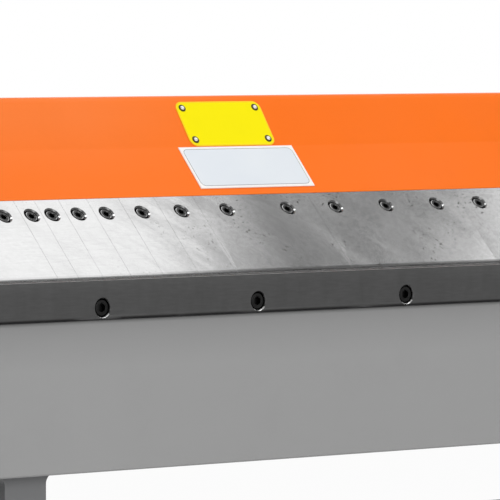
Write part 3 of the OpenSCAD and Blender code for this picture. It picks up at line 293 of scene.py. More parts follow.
class Recipe:
    """A material under construction, with its nodes and links."""

    def __init__(self, name, slot, roughness=0.5, metallic=0.0, coat=0.0, shine=0.5):
        self.material = bpy.data.materials.new(name)
        self.material.use_nodes = True
        self.tree = self.material.node_tree
        self.surface = self.tree.nodes["Principled BSDF"]
        for key, value in (("Roughness", roughness), ("Metallic", metallic), ("Coat Weight", coat),
                           ("Coat Roughness", 0.12), ("Specular IOR Level", shine)):
            self.surface.inputs[key].default_value = value
        self.place = self.add("ShaderNodeTexCoord").outputs["Object"]
        SLOT_OF[self.material.name] = slot

    def add(self, kind, **settings):
        node = self.tree.nodes.new(kind)
        for key, value in settings.items():
            setattr(node, key, value)
        return node

    def link(self, source, target):
        self.tree.links.new(source, target)

    def stretched(self, scale, turn=(0, 0, 0), how="POINT"):
        """The piece's coordinates, squeezed so that a pattern runs along one way.

        With how="TEXTURE", scale holds the sizes of the pattern's marks and turn the way they lie.
        """
        node = self.add("ShaderNodeMapping", vector_type=how)
        node.inputs["Scale"].default_value = scale
        node.inputs["Rotation"].default_value = turn
        self.link(self.place, node.inputs["Vector"])
        return node.outputs["Vector"]

    def axis(self, name):
        """One of the piece's own coordinates: X, Y or Z."""
        where = self.add("ShaderNodeSeparateXYZ")
        self.link(self.place, where.inputs["Vector"])
        return where.outputs[name]

    def noise(self, scale, detail, where=None, rough=0.5):
        node = self.add("ShaderNodeTexNoise")
        node.inputs["Scale"].default_value = scale
        node.inputs["Detail"].default_value = detail
        node.inputs["Roughness"].default_value = rough
        self.link(where or self.place, node.inputs["Vector"])
        return node.outputs["Fac"]

    def ramp(self, source, low, high, start=0.0, end=1.0, soft=False):
        """Maps source from the span low to high onto start to end."""
        node = self.add("ShaderNodeMapRange", interpolation_type="SMOOTHSTEP" if soft else "LINEAR")
        spans = (("From Min", low), ("From Max", high), ("To Min", start), ("To Max", end))
        for key, value in spans:
            node.inputs[key].default_value = value
        self.link(source, node.inputs["Value"])
        return node.outputs["Result"]

    def span(self, source, low, high, start=0.0, end=1.0, soft=False):
        """The same ramp over a length, with low and high in millimetres."""
        return self.ramp(source, low * MM, high * MM, start, end, soft)

    def mix(self, share, first, second):
        """A colour between two colours or sockets."""
        node = self.add("ShaderNodeMix", data_type="RGBA")
        self.link(share, node.inputs["Factor"])
        for key, value in (("A", first), ("B", second)):
            socket = [s for s in node.inputs if s.name == key and s.type == "RGBA"][0]
            if isinstance(value, tuple):
                socket.default_value = (*value, 1.0)
            else:
                self.link(value, socket)
        return [s for s in node.outputs if s.type == "RGBA"][0]

    def maths(self, how, first, second):
        """A number from two numbers or sockets."""
        node = self.add("ShaderNodeMath", operation=how)
        for socket, value in zip(node.inputs, (first, second)):
            if isinstance(value, (int, float)):
                socket.default_value = value
            else:
                self.link(value, socket)
        return node.outputs["Value"]

    def plus(self, first, second):
        return self.maths("ADD", first, second)

    def times(self, first, second):
        return self.maths("MULTIPLY", first, second)

    def apart(self, source, middle):
        """How far a coordinate is from a place in millimetres, on either side."""
        return self.maths("ABSOLUTE", self.plus(source, -middle * MM), 0)

    def colour(self, source):
        self.link(source, self.surface.inputs["Base Color"])

    def roughness(self, source):
        self.link(source, self.surface.inputs["Roughness"])

    def bump(self, source, height):
        """Relief of that many millimetres."""
        node = self.add("ShaderNodeBump")
        node.inputs["Distance"].default_value = height * MM
        node.inputs["Strength"].default_value = 1.0
        self.link(source, node.inputs["Height"])
        self.link(node.outputs["Normal"], self.surface.inputs["Normal"])


def shade(colour, factor):
    return tuple(min(1.0, c * factor) for c in colour)


# %% [markdown]
# Powder coat is the paint of nearly all workshop machines: baked on, slightly wavy like orange
# peel, and never quite even in colour. A fine noise gives the peel as relief, a coarse one drifts
# the colour by a few percent, and a third lets the gloss vary where hands and rags have been. Under
# the foot of the folding blade the apron's paint carries a dark strip of painted shadow, and a
# faint painted shadow further down. The beam's paint is a little lighter towards its upper left, a
# painted reflection.

# %% Powder coat
FRAME_GREY = (0.33, 0.33, 0.33)
# Strips of painted shadow on the apron under the foot of the folding blade.
BLADE_FOOT_SHADOW = (866.5, 861.5, 0.8)
FAINT_SHADOW = (865, 818, 0.18)
# Span of the painted reflection on the beam's upper left, in millimetres.
SHEEN_LEFT, SHEEN_UP = (50, -200), (1000, 1060)


def powder_coat(name, slot, colour, gloss, peel, peel_scale, drift, shine=0.3, painted_shade=(),
                sheen=None):
    """Paint, with strips of painted shadow and a painted reflection that lightens its upper left.

    A strip is (height where the painted shadow is darkest, height where it ends, share).
    """
    r = Recipe(name, slot, roughness=gloss, shine=shine)
    cloud = r.ramp(r.noise(2.2, 4), 0.3, 0.7)
    grime = r.ramp(r.noise(14, 6, rough=0.65), 0.52, 0.78)
    base = r.mix(cloud, shade(colour, 1 - drift), shade(colour, 1 + drift))
    # Each strip darkens the paint as painted shadow.
    for thick, end, share in painted_shade:
        base = r.mix(r.span(r.axis("Z"), end, thick, 0.0, share), base, shade(colour, 0.15))
    # The upper left is painted lighter, as a painted reflection.
    if sheen:
        share = r.times(r.span(r.axis("X"), *SHEEN_LEFT), r.span(r.axis("Z"), *SHEEN_UP, 0.3, 1.0))
        base = r.mix(share, base, sheen)
    r.colour(r.mix(r.times(grime, 0.1), base, shade(colour, 0.72)))
    r.roughness(r.ramp(r.noise(9, 5), 0.25, 0.75, gloss - 0.05, gloss + 0.1))
    r.bump(r.noise(peel_scale, 2), peel)
    return r.material


ORANGE = powder_coat("orange_coat", "orange_paint", (0.97, 0.172, 0.006), gloss=0.42, peel=0.012,
                     peel_scale=300, drift=0.015, shine=0.08, sheen=(0.97, 0.208, 0.034))
GREY = powder_coat("grey_coat", "grey_paint", FRAME_GREY, gloss=0.5, peel=0.02, peel_scale=520,
                   drift=0.02)
# The apron carries the painted shadow of the blade's foot.
APRON_GREY = powder_coat("apron_coat", "grey_paint", FRAME_GREY, gloss=0.5, peel=0.02,
                         peel_scale=520, drift=0.02, painted_shade=(BLADE_FOOT_SHADOW, FAINT_SHADOW))
DARK = powder_coat("dark_coat", "dark_paint", (0.17, 0.172, 0.175), gloss=0.48, peel=0.03,
                   peel_scale=600, drift=0.05)
BLACK_COAT = powder_coat("black_coat", "black_paint", (0.018, 0.018, 0.02), gloss=0.42, peel=0.03,
                         peel_scale=600, drift=0.1)
YELLOW = powder_coat("yellow_enamel", "yellow_plate", (0.96, 0.83, 0.001), gloss=0.35, peel=0.003,
                     peel_scale=150, drift=0.01, shine=0.03)
# A dark olive that is painted shade round the rivets.
RIVET_SHADE = powder_coat("rivet_shade_ring", "dark_paint", (0.045, 0.035, 0.006), gloss=0.4, peel=0.003,
                    peel_scale=150, drift=0.1)
YELLOW_RIM = powder_coat("yellow_rim", "yellow_plate", (0.95, 0.68, 0.02), gloss=0.4, peel=0.003,
                         peel_scale=150, drift=0.01, shine=0.06)
coats = len(SLOT_OF)
print("coats", coats)

# %% [markdown]
# Bare steel is bright, with a fine grain from the wheel or the cutter and clouds of oil. The grain
# is a noise squeezed hard along one direction. Clouds raise the roughness and take a little
# colour, because oil and rust do both.

# %% Ground, milled and plated metal
WHITE_METAL = (1.0, 1.0, 1.0)
GRAIN_RELIEF = 0.002


def bare_steel(name, slot, tone, gloss, grain=(60, 900, 900), stain=0.35, tint=WHITE_METAL,
               painted_shade=None):
    """Bare or plated metal, with a strip of painted shade that is written as for the paint."""
    r = Recipe(name, slot, roughness=gloss, metallic=1.0)
    lines = r.noise(1.0, 2, r.stretched(grain))
    oil = r.ramp(r.noise(16, 5, rough=0.6), 0.42, 0.72)
    smear = r.ramp(r.noise(1.0, 4, r.stretched((70, 22, 22), (0.5, 0.3, 0.4))), 0.45, 0.75)
    clouds = r.times(r.plus(oil, smear), 0.5)
    base = tuple(tone * t for t in tint)
    clean = r.mix(r.ramp(lines, 0.3, 0.7), shade(base, 0.93), shade(base, 1.07))
    worn = r.mix(r.times(clouds, stain), clean, shade(base, 0.55))
    if painted_shade:
        # The strip is painted shade, broken by noise.
        thick, end, share = painted_shade
        broken = r.times(r.ramp(r.noise(14, 2), 0.35, 0.5), share)
        worn = r.mix(r.times(r.span(r.axis("Z"), end, thick), broken), worn, shade(base, 0.12))
    r.colour(worn)
    r.roughness(r.plus(r.ramp(clouds, 0.0, 1.0, gloss, gloss + 0.14),
                       r.ramp(lines, 0.3, 0.7, -0.02, 0.02)))
    r.bump(lines, GRAIN_RELIEF)
    return r.material


COARSE, EVEN, FINE_EVEN = (60, 500, 500), (300, 300, 300), (500, 500, 500)
GROUND = bare_steel("ground_steel", "ground_steel", tone=0.42, gloss=0.24)
BLADE_STEEL = bare_steel("blade_steel", "blade_steel", tone=0.095, gloss=0.4, grain=COARSE,
                         stain=0.3)
# The folding blade's foot is painted darker, as painted shade.
FOLDING_STEEL = bare_steel("folding_steel", "blade_steel", tone=0.095, gloss=0.4, grain=COARSE,
                           stain=0.3, painted_shade=(867.0, 869.0, 0.9))
BLACKED = bare_steel("blacked_steel", "black_oxide", tone=0.022, gloss=0.34,
                     grain=(400, 400, 400), stain=0.3)
SCREW_STEEL = bare_steel("screw_steel", "black_oxide", tone=0.045, gloss=0.25, grain=FINE_EVEN,
                         stain=0.3)
# Lighter copies of the steel are painted highlights on rims; the darker bore steel is painted
# shade.
RIM_HIGHLIGHT = bare_steel("rim_highlight", "ground_steel", tone=0.3, gloss=0.14, grain=FINE_EVEN,
                       stain=0.2)
BRIGHT_HIGHLIGHT = bare_steel("bright_highlight", "ground_steel", tone=0.9, gloss=0.2, grain=FINE_EVEN,
                        stain=0.1)
BORE_SHADE = bare_steel("bore_shade", "ground_steel", tone=0.11, gloss=0.22, grain=EVEN, stain=0.3)
ZINC = bare_steel("zinc_plate", "zinc", tone=0.5, gloss=0.3, grain=EVEN, stain=0.25,
                  tint=(1.0, 0.99, 0.95))
BRIGHT_ZINC = bare_steel("bright_zinc", "zinc", tone=0.8, gloss=0.32, grain=EVEN, stain=0.1)
CHROME = bare_steel("chrome_plate", "chrome", tone=0.62, gloss=0.08, grain=EVEN, stain=0.1)
SPRING = bare_steel("spring_wire", "spring_steel", tone=0.25, gloss=0.3, grain=(200, 200, 200))
BRONZE = bare_steel("bush_bronze", "bronze", tone=0.55, gloss=0.3, grain=(700, 60, 60),
                    tint=(1.0, 0.66, 0.3))
print("metals", len(SLOT_OF) - coats)

# %% [markdown]
# The fingers' steel mirrors the lamps. Its film thins towards the left end, partly wear and partly
# painted light that keeps the left end brighter. Elsewhere it is dulled by wiping marks that lean
# across the face and by a few dark specks, two patches are painted darker as painted shade, and a
# dark line runs along the noses. Painted fans of light open upwards from two of the joints.

# %% Steel of the fingers
FINGER_BASE = (0.42, 0.42, 0.42)
NOSE_Z, UP_FACE = 907, 1.414
# Where the film grows from the left end: partly wear, partly painted light that keeps the left end
# brighter.
LEAST_WEAR_AND_SHADE, MOST_WEAR_AND_SHADE = -240, -90
WIPE_SIZES = (0.11, 0.02, 0.02)
WIPE_TURN = (0, math.radians(30), math.radians(-35.3))
# Patches of painted shade on the fingers' face.
SHADED_PATCHES = ((-21, 56, 0.46), (134, 38, 0.22))
NOSE_LINE, FAN_SPAN, FAN_FOOT = (3.6, 0.8), (80, 15), 0.8
FANS = ((-110, 0.17, 0.42), (40, 0.38, 0.34))


def wiping(r, wear_and_shade):
    """The film of oil and wiping marks, and the share of it that is painted shade.

    A patch of painted shade is (middle, half width, strength).
    """
    oil = r.ramp(r.noise(20, 6, rough=0.62), 0.46, 0.7)
    marks = r.stretched(WIPE_SIZES, WIPE_TURN, "TEXTURE")
    wiped = r.ramp(r.noise(1.0, 5, marks, rough=0.62), 0.45, 0.68)
    film = r.times(r.plus(r.times(oil, 0.5), r.times(wiped, 0.6)), wear_and_shade)
    shaded = 0
    # Each patch is painted shade and also dulls the gloss.
    for middle, half, strength in SHADED_PATCHES:
        near = r.span(r.apart(r.axis("X"), middle), half, 0, soft=True)
        mark = r.times(near, r.ramp(wiped, 0.0, 0.8, 0.7, 1.0))
        shaded = r.plus(r.times(mark, strength), shaded)
    return r.plus(film, shaded), shaded


def light_fans(r, up, base):
    """Brightens base in fans that are (joint, spread, strength)."""
    low = r.span(up, *FAN_SPAN)
    for joint, spread, strength in FANS:
        reach = r.plus(r.times(up, spread), FAN_FOOT * MM)
        fan = r.ramp(r.maths("DIVIDE", r.apart(r.axis("X"), joint), reach), 1.0, 0.0, soft=True)
        base = r.mix(r.times(r.times(fan, low), strength), base, shade(FINGER_BASE, 1.6))
    return base


def finger_finish():
    """Ground steel: grain, film, painted shade, specks, a nose line and painted fans of light."""
    r = Recipe("finger_steel", "ground_steel", roughness=0.16, metallic=1.0)
    # The film's share, small at the left end: partly wear, partly painted light.
    wear_and_shade = r.span(r.axis("X"), LEAST_WEAR_AND_SHADE, MOST_WEAR_AND_SHADE, 0.22, 1.0)
    up = r.times(r.plus(r.axis("Z"), -NOSE_Z * MM), UP_FACE)
    grain = r.noise(1.0, 2, r.stretched((40, 700, 700)))
    steel = r.mix(r.ramp(grain, 0.3, 0.7), shade(FINGER_BASE, 0.97), shade(FINGER_BASE, 1.03))
    film, shaded = wiping(r, wear_and_shade)
    steel = r.mix(film, steel, shade(FINGER_BASE, 0.66))
    mottle = r.times(r.ramp(r.noise(230, 3), 0.42, 0.66), r.times(wear_and_shade, 0.2))
    steel = r.mix(mottle, steel, shade(FINGER_BASE, 0.45))
    # The patches are painted shade.
    steel = r.mix(shaded, steel, shade(FINGER_BASE, 0.1))
    pressed = r.times(r.span(up, *NOSE_LINE, soft=True), r.times(wear_and_shade, 0.8))
    steel = light_fans(r, up, r.mix(pressed, steel, shade(FINGER_BASE, 0.2)))
    dots = r.times(r.ramp(r.noise(300, 1), 0.66, 0.7), r.ramp(r.noise(22, 2), 0.54, 0.6))
    r.colour(r.mix(r.times(dots, r.times(wear_and_shade, 0.7)), steel, (0.05, 0.045, 0.04)))
    r.roughness(r.ramp(film, 0.0, 1.0, 0.13, 0.24))
    r.bump(grain, 0.0015)
    return r.material


FINGER_STEEL = finger_finish()
print("light fans", len(FANS), "thumbed patches", len(SHADED_PATCHES))

# %% [markdown]
# Grips, knobs and the pedal's tread are moulded. Black plastic is finely grained and a little
# shiny where it is held; rubber is duller, and grey with dust in its grooves. The label is a
# smooth film with a darker field inside a white edge.

# %% Plastic, rubber and film
DUST = (0.16, 0.15, 0.14)


def moulded(name, slot, colour, gloss, grain, dust):
    r = Recipe(name, slot, roughness=gloss)
    dusty = r.ramp(r.noise(30, 6, rough=0.7), 0.45, 0.8)
    r.colour(r.mix(r.times(dusty, dust), colour, DUST))
    r.roughness(r.ramp(r.noise(45, 3), 0.3, 0.7, gloss - 0.06, gloss + 0.1))
    r.bump(r.noise(1500, 2), grain)
    return r.material


def label_film(name, colour, other_colour):
    r = Recipe(name, "white_label", roughness=0.3, coat=0.2)
    r.colour(r.mix(r.ramp(r.noise(12, 3), 0.3, 0.7), colour, other_colour))
    r.bump(r.noise(700, 2), 0.002)
    return r.material


PLASTIC = moulded("black_plastic", "black_plastic", (0.012, 0.012, 0.013), gloss=0.4, grain=0.02,
                  dust=0.25)
RUBBER = moulded("tread_rubber", "rubber", (0.02, 0.02, 0.02), gloss=0.7, grain=0.05, dust=0.45)
LABEL_EDGE = label_film("label_edge", (0.86, 0.83, 0.82), (0.9, 0.88, 0.86))
LABEL_FIELD = label_film("label_field", (0.69, 0.735, 0.79), (0.73, 0.77, 0.81))
LABEL_LINE = label_film("label_line", (0.14, 0.14, 0.16), (0.18, 0.18, 0.2))
print("materials", len(SLOT_OF))

# %% [markdown]
# Eleven fingers of different widths make up the clamping edge. They are separate so that a box's
# sides can stand between them. Their edges are hardly broken at all, because the noses press the
# bend, so their joints barely show. The counterbores are painted darker, as painted shade, and
# their rims carry a painted highlight where they face the lamps.

# %% Fingers
FINGER_WIDTHS = (100, 75, 25, 30, 35, 40, 45, 50, 150, 200, 270)
FINGER_SCREWS = ((25, 75), (20, 53.5), (12.5,), (12.5,), (15,), (15,), (20,), (25,), (34, 114),
                 (28, 97, 167), (27, 97, 167, 237))
SCREW_ROW, BORE_REACH, BORE_R, BORE_HIGHLIGHT = 84, 9.4, 7.5, (-50, 20)
FACES_OUT = 0.3
OUTWARD = off_slope(FACE_ANGLE, 1)
ROW = FACE_FOOT + up_slope(FACE_ANGLE, SCREW_ROW)


def darken_bores(piece, centres, out, reach, rim, shiny, highlight_finish):
    """Paints bores darker as painted shade, and a painted highlight on the side of the rim that
    faces the lamps.

    reach and rim are the rim's outer and inner radius; shiny is the span of the painted highlight
    in degrees.
    """
    first = len(piece.data.materials)
    piece.data.materials.append(BORE_SHADE)
    piece.data.materials.append(highlight_finish)
    uphill = out.cross(Vector((1, 0, 0)))
    for face in piece.data.polygons:
        for centre in centres:
            flat = [piece.data.vertices[i].co - centre for i in face.vertices]
            flat = [way - out * way.dot(out) for way in flat]
            if all(way.length < reach * MM for way in flat):
                middle = sum(flat, Vector()) / len(flat)
                bearing = math.degrees(math.atan2(middle.dot(uphill), middle.x))
                on_rim = middle.length > rim * MM and face.normal.dot(out) > FACES_OUT
                face.material_index = first + (on_rim and shiny[0] < bearing < shiny[1])


finger_bores, left = [], -BEND_HALF
for width, offsets in zip(FINGER_WIDTHS, FINGER_SCREWS):
    finger_bores.append([left + offset for offset in offsets])
    left += width
for number, bores in enumerate(finger_bores, 1):
    finger = edged(f"finger_{number:02d}", 0.05, FINGER_STEEL, 1)
    centres = [at_bend(x, ROW.y, ROW.z) for x in bores]
    # The bores are painted shade, and their rims facing the lamps a painted highlight.
    darken_bores(finger, centres, OUTWARD, BORE_REACH, BORE_R, BORE_HIGHLIGHT, RIM_HIGHLIGHT)
print("fingers", len(finger_bores))

# %% [markdown]
# A socket head cap screw: a turned head with a rounded rim, a hexagon socket broached into it, and
# a shank. The socket is cut with a hexagonal bar, as a broach would cut it. One screw is made, and
# the rest are copies at each counterbore. The rounded rim of the head is a lighter steel, a painted
# highlight.

# %% Cap screws
HEAD_R, HEAD_H = 6.5, 8
RIM_DOWN, RIM_IN = 0.95, 1.1
FINGER_BORE_DEPTH = 8.8


def cap_screw(head_radius, head_height, socket_width, socket_depth, shank_radius, shank):
    corner = socket_width / 2 / math.cos(math.pi / 6)
    head = turned("cap_screw", [(shank_radius, -shank), (shank_radius, 0), (head_radius, 0),
                                (head_radius, head_height - 1),
                                (head_radius - 0.3, head_height - 0.3),
                                (head_radius - 1, head_height), (corner + 0.6, head_height),
                                (corner, head_height - 0.5)])
    drop_selection()
    bpy.ops.mesh.primitive_cylinder_add(vertices=6, radius=corner * MM,
                                        depth=2 * socket_depth * MM,
                                        location=(0, 0, head_height * MM))
    return cut(head, bpy.context.object)


def worn_rim(screw, finish, highlight_finish, head_radius, head_height):
    """Blackens a screw all over but for the rounded rim of its head, which gets a painted
    highlight.
    """
    screw.data.materials.append(finish)
    screw.data.materials.append(highlight_finish)
    for face in screw.data.polygons:
        reach = math.hypot(face.center.x, face.center.y) / MM
        high = face.center.z / MM > head_height - RIM_DOWN
        # The rim gets the lighter steel, a painted highlight.
        face.material_index = 1 if high and reach > head_radius - RIM_IN else 0
    return screw


row = ROW - OUTWARD * FINGER_BORE_DEPTH
places = [(at_bend(x, row.y, row.z), (FACE_ANGLE, 0, 0)) for bores in finger_bores for x in bores]
screw = cap_screw(HEAD_R, HEAD_H, socket_width=6, socket_depth=4, shank_radius=4, shank=29)
finger_screws = copies("finger_cap_screws",
                       worn_rim(screw, SCREW_STEEL, RIM_HIGHLIGHT, HEAD_R, HEAD_H), places)
dress(finger_screws, None, "clamp_beam", "finger_screws")
print("finger screws", len(places))

# %% [markdown]
# The folding blade is held by six bigger screws, black all over, which sink deep into its bores.

# %% Blade screws
BLADE_FACE, BLADE_SCREW_Z, BLADE_BORE_DEPTH = -16, -27.5, 11.6
BLADE_SCREWS = (-490, -294, -98, 98, 294, 490)
TO_FRONT = (math.pi / 2, 0, 0)
places = [(at_bend(x, BLADE_FACE + BLADE_BORE_DEPTH, BLADE_SCREW_Z), TO_FRONT)
          for x in BLADE_SCREWS]
screw = cap_screw(8, 10, socket_width=8, socket_depth=5, shank_radius=5, shank=11)
dress(copies("blade_cap_screws", screw, places), BLACKED, "apron", "blade_screws")
print("blade screws", len(places))

# %% [markdown]
# The clamping beam is one bent and welded box. Its bends are already in the frame's section, so it
# only needs its cut edges broken and a smooth coat. The folding blade's bores are countersunk with
# a cone. The bores are painted darker as painted shade, the lower side of each countersink gets a
# bright painted highlight, and so does the chamfer along the blade's top.

# %% Clamping beam, blades and apron
SINK_PROFILE = [(8.6, -1.5), (10.1, 0), (10.7, 0.6)]
SINK_REACH, SINK_RIM, SINK_HIGHLIGHT = 10.3, 9.3, (-130, -40)
TOP_CHAMFER = 903.5
edged("beam_shell", 0.8, ORANGE)
blade = edged("folding_blade", 0.6, FOLDING_STEEL)
centres = [at_bend(x, BLADE_FACE, BLADE_SCREW_Z) for x in BLADE_SCREWS]
cone = turned("countersink", SINK_PROFILE)
cut(blade, copies("countersinks", cone, [(centre, TO_FRONT) for centre in centres]))
# The bores are painted shade, and the lower side of each countersink a painted highlight.
darken_bores(blade, centres, Vector((0, -1, 0)), SINK_REACH, SINK_RIM, SINK_HIGHLIGHT, BRIGHT_HIGHLIGHT)
# The chamfer along the blade's top gets a painted highlight.
for face in blade.data.polygons:
    leans = face.normal.y < -0.2 and face.normal.z > 0.2
    if leans and face.center.z > TOP_CHAMFER * MM:
        face.material_index = blade.data.materials.find(BRIGHT_HIGHLIGHT.name)
edged("bed_blade", 0.4, GROUND)
edged("apron_plate", 0.6, APRON_GREY)
edged("apron_rail", 1.0, DARK)
edged("apron_ribs", 1.0, GREY)
edged("apron_cheeks", 1.0, GREY)
print("blade's finishes", len(blade.data.materials))

# %% [markdown]
# The yellow plate is thin pressed metal with round corners and a rim that is a shade deeper. A
# flat box gets its upright edges rounded with a bevel, then its top is inset for the rim, and the
# face that is left inside gets the next finish. The white film below it is made the same way, in
# two layers: a sharp white sheet, and a thin field with round corners and a drawn line round it.
# Both plates are plain, and both keep clear of the bend between the two facets.

# %% Plates on the beam
PLATE_X, PLATE_T = -18.7, 1.0
PLATE_W, PLATE_H, PLATE_R, PLATE_RIM = 112, 55, 9, 1.6
LABEL_W, LABEL_H, LABEL_EDGE_W = 150, 56, 3
FIELD_R, FIELD_T, LINE_W = 6, 0.08, 0.55
BEND_R = 10
FACET_FLAT = BEND_R * math.tan((UPPER_ANGLE - LOWER_ANGLE) / 2)


def choose(piece, kind, wanted):
    """Selects the edges or the faces that are wanted, in edit mode."""
    mesh = bmesh.from_edit_mesh(piece.data)
    for part in getattr(mesh, kind):
        part.select = wanted(part)
    bmesh.update_edit_mesh(piece.data)


def flat_plate(name, size, corner, finish, rim=0, inner=None):
    """A thin plate on XY with rounded corners, and inside the rim another finish."""
    thick = size[2]
    piece = block(name, size, (0, 0, thick / 2 * MM))
    piece.data.materials.append(finish)
    bpy.ops.object.mode_set(mode="EDIT")
    bpy.ops.mesh.select_all(action="DESELECT")
    bpy.ops.mesh.select_mode(type="EDGE")
    choose(piece, "edges", lambda e: abs(e.verts[0].co.z - e.verts[1].co.z) > thick / 2 * MM)
    if corner:
        bpy.ops.mesh.bevel(offset=corner * MM, segments=8, affect="EDGES")
    bpy.ops.mesh.select_mode(type="FACE")
    choose(piece, "faces", lambda face: face.normal.z > 0.9)
    if inner:
        piece.data.materials.append(inner)
        bpy.ops.mesh.inset(thickness=rim * MM, depth=0)
        mesh = bmesh.from_edit_mesh(piece.data)
        for face in mesh.faces:
            face.material_index = 1 if face.select else 0
        bmesh.update_edit_mesh(piece.data)
    bpy.ops.object.mode_set(mode="OBJECT")
    return piece


label = flat_plate("data_film", (LABEL_W, LABEL_H, PLATE_T), 0, LABEL_EDGE)
field_size = (LABEL_W - 2 * LABEL_EDGE_W, LABEL_H - 2 * LABEL_EDGE_W, FIELD_T)
field = flat_plate("data_field", field_size, FIELD_R, LABEL_LINE, LINE_W, LABEL_FIELD)
label_mid = SHEET_FOOT + up_slope(LOWER_ANGLE, LOWER_LENGTH - FACET_FLAT - LABEL_H / 2)
field_mid = label_mid + off_slope(LOWER_ANGLE, PLATE_T - FIELD_T / 4)
settle(label, at_bend(PLATE_X, label_mid.y, label_mid.z), (LOWER_ANGLE, 0, 0))
settle(field, at_bend(PLATE_X, field_mid.y, field_mid.z), (LOWER_ANGLE, 0, 0))
dress(label, None, "clamp_beam", "data_label")
dress(field, None, "clamp_beam")

plate = flat_plate("name_plate_bare", (PLATE_W, PLATE_H, PLATE_T), PLATE_R, YELLOW_RIM, PLATE_RIM,
                   YELLOW)
plate_mid = FACET_CORNER + up_slope(UPPER_ANGLE, FACET_FLAT + PLATE_H / 2)
settle(plate, at_bend(PLATE_X, plate_mid.y, plate_mid.z), (UPPER_ANGLE, 0, 0))
dress(plate, None, "clamp_beam", "name_plate")
print("label field", [round(v, 1) for v in field_size])

# %% [markdown]
# Four domed rivets hold the yellow plate. Each sits on a thin dark disc, a ring of painted shade
# round the bright dome.

# %% Rivets
RIVET_IN = 7.9
DOME = [(2.4, 0), (2.4, 0.7), (2.2, 1.1), (1.7, 1.4), (1.0, 1.6), (0.3, 1.65)]
rivet = turned("rivet", DOME, 24)
washer = turned("rivet_shade_disc", [(4.2, 0), (4.2, 0.25), (3.9, 0.45), (2.6, 0.5)], 32)
out = off_slope(UPPER_ANGLE, 1)
places = []
for side_x in (-1, 1):
    for side_y in (-1, 1):
        up = up_slope(UPPER_ANGLE, side_y * (PLATE_H / 2 - RIVET_IN))
        spot = plate_mid + up + out * PLATE_T
        x = PLATE_X + side_x * (PLATE_W / 2 - RIVET_IN)
        places.append((at_bend(x, spot.y, spot.z), (UPPER_ANGLE, 0, 0)))
dress(copies("plate_rivets_domed", rivet, places), BRIGHT_ZINC, "clamp_beam", "plate_rivets")
# Thin dark discs under the rivets, a ring of painted shade.
dress(copies("plate_shade_rings", washer, places), RIVET_SHADE, "clamp_beam")
print("rivets", len(places))

# %% [markdown]
# All the other plates, bars and rods need only their edges broken, each by the width that such a
# piece has. What stays hidden behind the fingers and inside the beam keeps the frame's own mesh
# and only gets its finish.

# %% Stands, side plates, rods and knobs
EDGES = (("stand_left", 1.6, GREY), ("stand_right", 1.6, GREY), ("side_plate_left", 1.6, GREY),
         ("side_plate_right", 1.6, GREY), ("rear_tie", 1.6, GREY), ("bed_beam", 1.0, GREY),
         ("base_plates", 1.5, DARK), ("guide_brackets", 0.8, DARK), ("pedal_bearings", 1.2, DARK),
         ("beam_guides", 0.5, GROUND), ("slide_blocks", 0.8, BLADE_STEEL),
         ("frame_bolts", 0.5, ZINC), ("hinge_bushes", 0.4, BRONZE), ("hinge_pins", 1.0, GROUND),
         ("weight_arms", 1.2, DARK), ("handle_bars", 0.8, CHROME), ("tie_rod", 0.6, ZINC),
         ("pull_rods", 0.6, ZINC), ("stop_dog", 0.8, BLADE_STEEL), ("angle_scale", 0.4, ZINC),
         ("angle_stop", 0.6, GROUND), ("gauge_rods", 0.8, CHROME), ("gauge_bar", 0.8, DARK),
         ("pedal_frame", 1.5, BLACK_COAT))
KNOBS = ("gauge_knob_left", "gauge_knob_right", "stop_knob", "lift_screw_left",
         "lift_screw_right")
for node, width, finish in EDGES:
    edged(node, width, finish)
edged("bed_blade_screws", 0.15, BLACKED, 1)
for node in KNOBS:
    edged(node, 1.2, PLASTIC, 3)
edged("pedal_tread", 0.8, RUBBER)
for node, finish in (("finger_seat", BLADE_STEEL), ("beam_ribs", ORANGE)):
    nodes[node].data.materials.clear()
    nodes[node].data.materials.append(finish)
print("pieces with broken edges", len(EDGES) + len(KNOBS) + 2)

# %% [markdown]
# Two lift springs raise the beam when the pedal is let go. A spring is one round wire: a circle as
# wide as the wire is carried round the spring's axis by a screw modifier, which turns and climbs
# at once. Its end turns are closed, so a plain ring lies at each end.

# %% Lift springs
SPRING_FOOT, SPRING_TOP, SPRING_X, SPRING_Y = -292, -150, 522, 182
WIRE_R, COIL_R, TURNS = 1.5, 9.5, 9
spring_length = SPRING_TOP - SPRING_FOOT
climb = spring_length - 4 * WIRE_R
drop_selection()
bpy.ops.mesh.primitive_circle_add(vertices=12, radius=WIRE_R * MM,
                                  location=(COIL_R * MM, 0, 2 * WIRE_R * MM),
                                  rotation=(math.pi / 2, 0, 0))
coil = bpy.context.object
bpy.ops.object.transform_apply(location=True, rotation=True, scale=True)
finish_with(coil, "SCREW", axis="Z", angle=2 * math.pi, screw_offset=climb / TURNS * MM,
            iterations=TURNS, steps=32, render_steps=32)
pick(coil)
bpy.ops.object.mode_set(mode="EDIT")
bpy.ops.mesh.select_all(action="SELECT")
bpy.ops.mesh.fill_holes(sides=0)
bpy.ops.mesh.normals_make_consistent(inside=False)
bpy.ops.object.mode_set(mode="OBJECT")
parts = [coil]
for height in (WIRE_R, spring_length - WIRE_R):
    drop_selection()
    bpy.ops.mesh.primitive_torus_add(major_radius=COIL_R * MM, minor_radius=WIRE_R * MM,
                                     major_segments=40, minor_segments=12,
                                     location=(0, 0, height * MM))
    ring = bpy.context.object
    bpy.ops.object.transform_apply(location=True, rotation=True, scale=True)
    parts.append(ring)
spring = smooth(joined("spring_coil", parts), 60)
springs = copies("lift_spring_coils", spring, both_sides(SPRING_X, SPRING_Y, SPRING_FOOT))
dress(springs, SPRING, "frame", "lift_springs")
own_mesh(springs)
print("spring turns", TURNS, "triangles", sum(len(f.vertices) - 2 for f in springs.data.polygons))

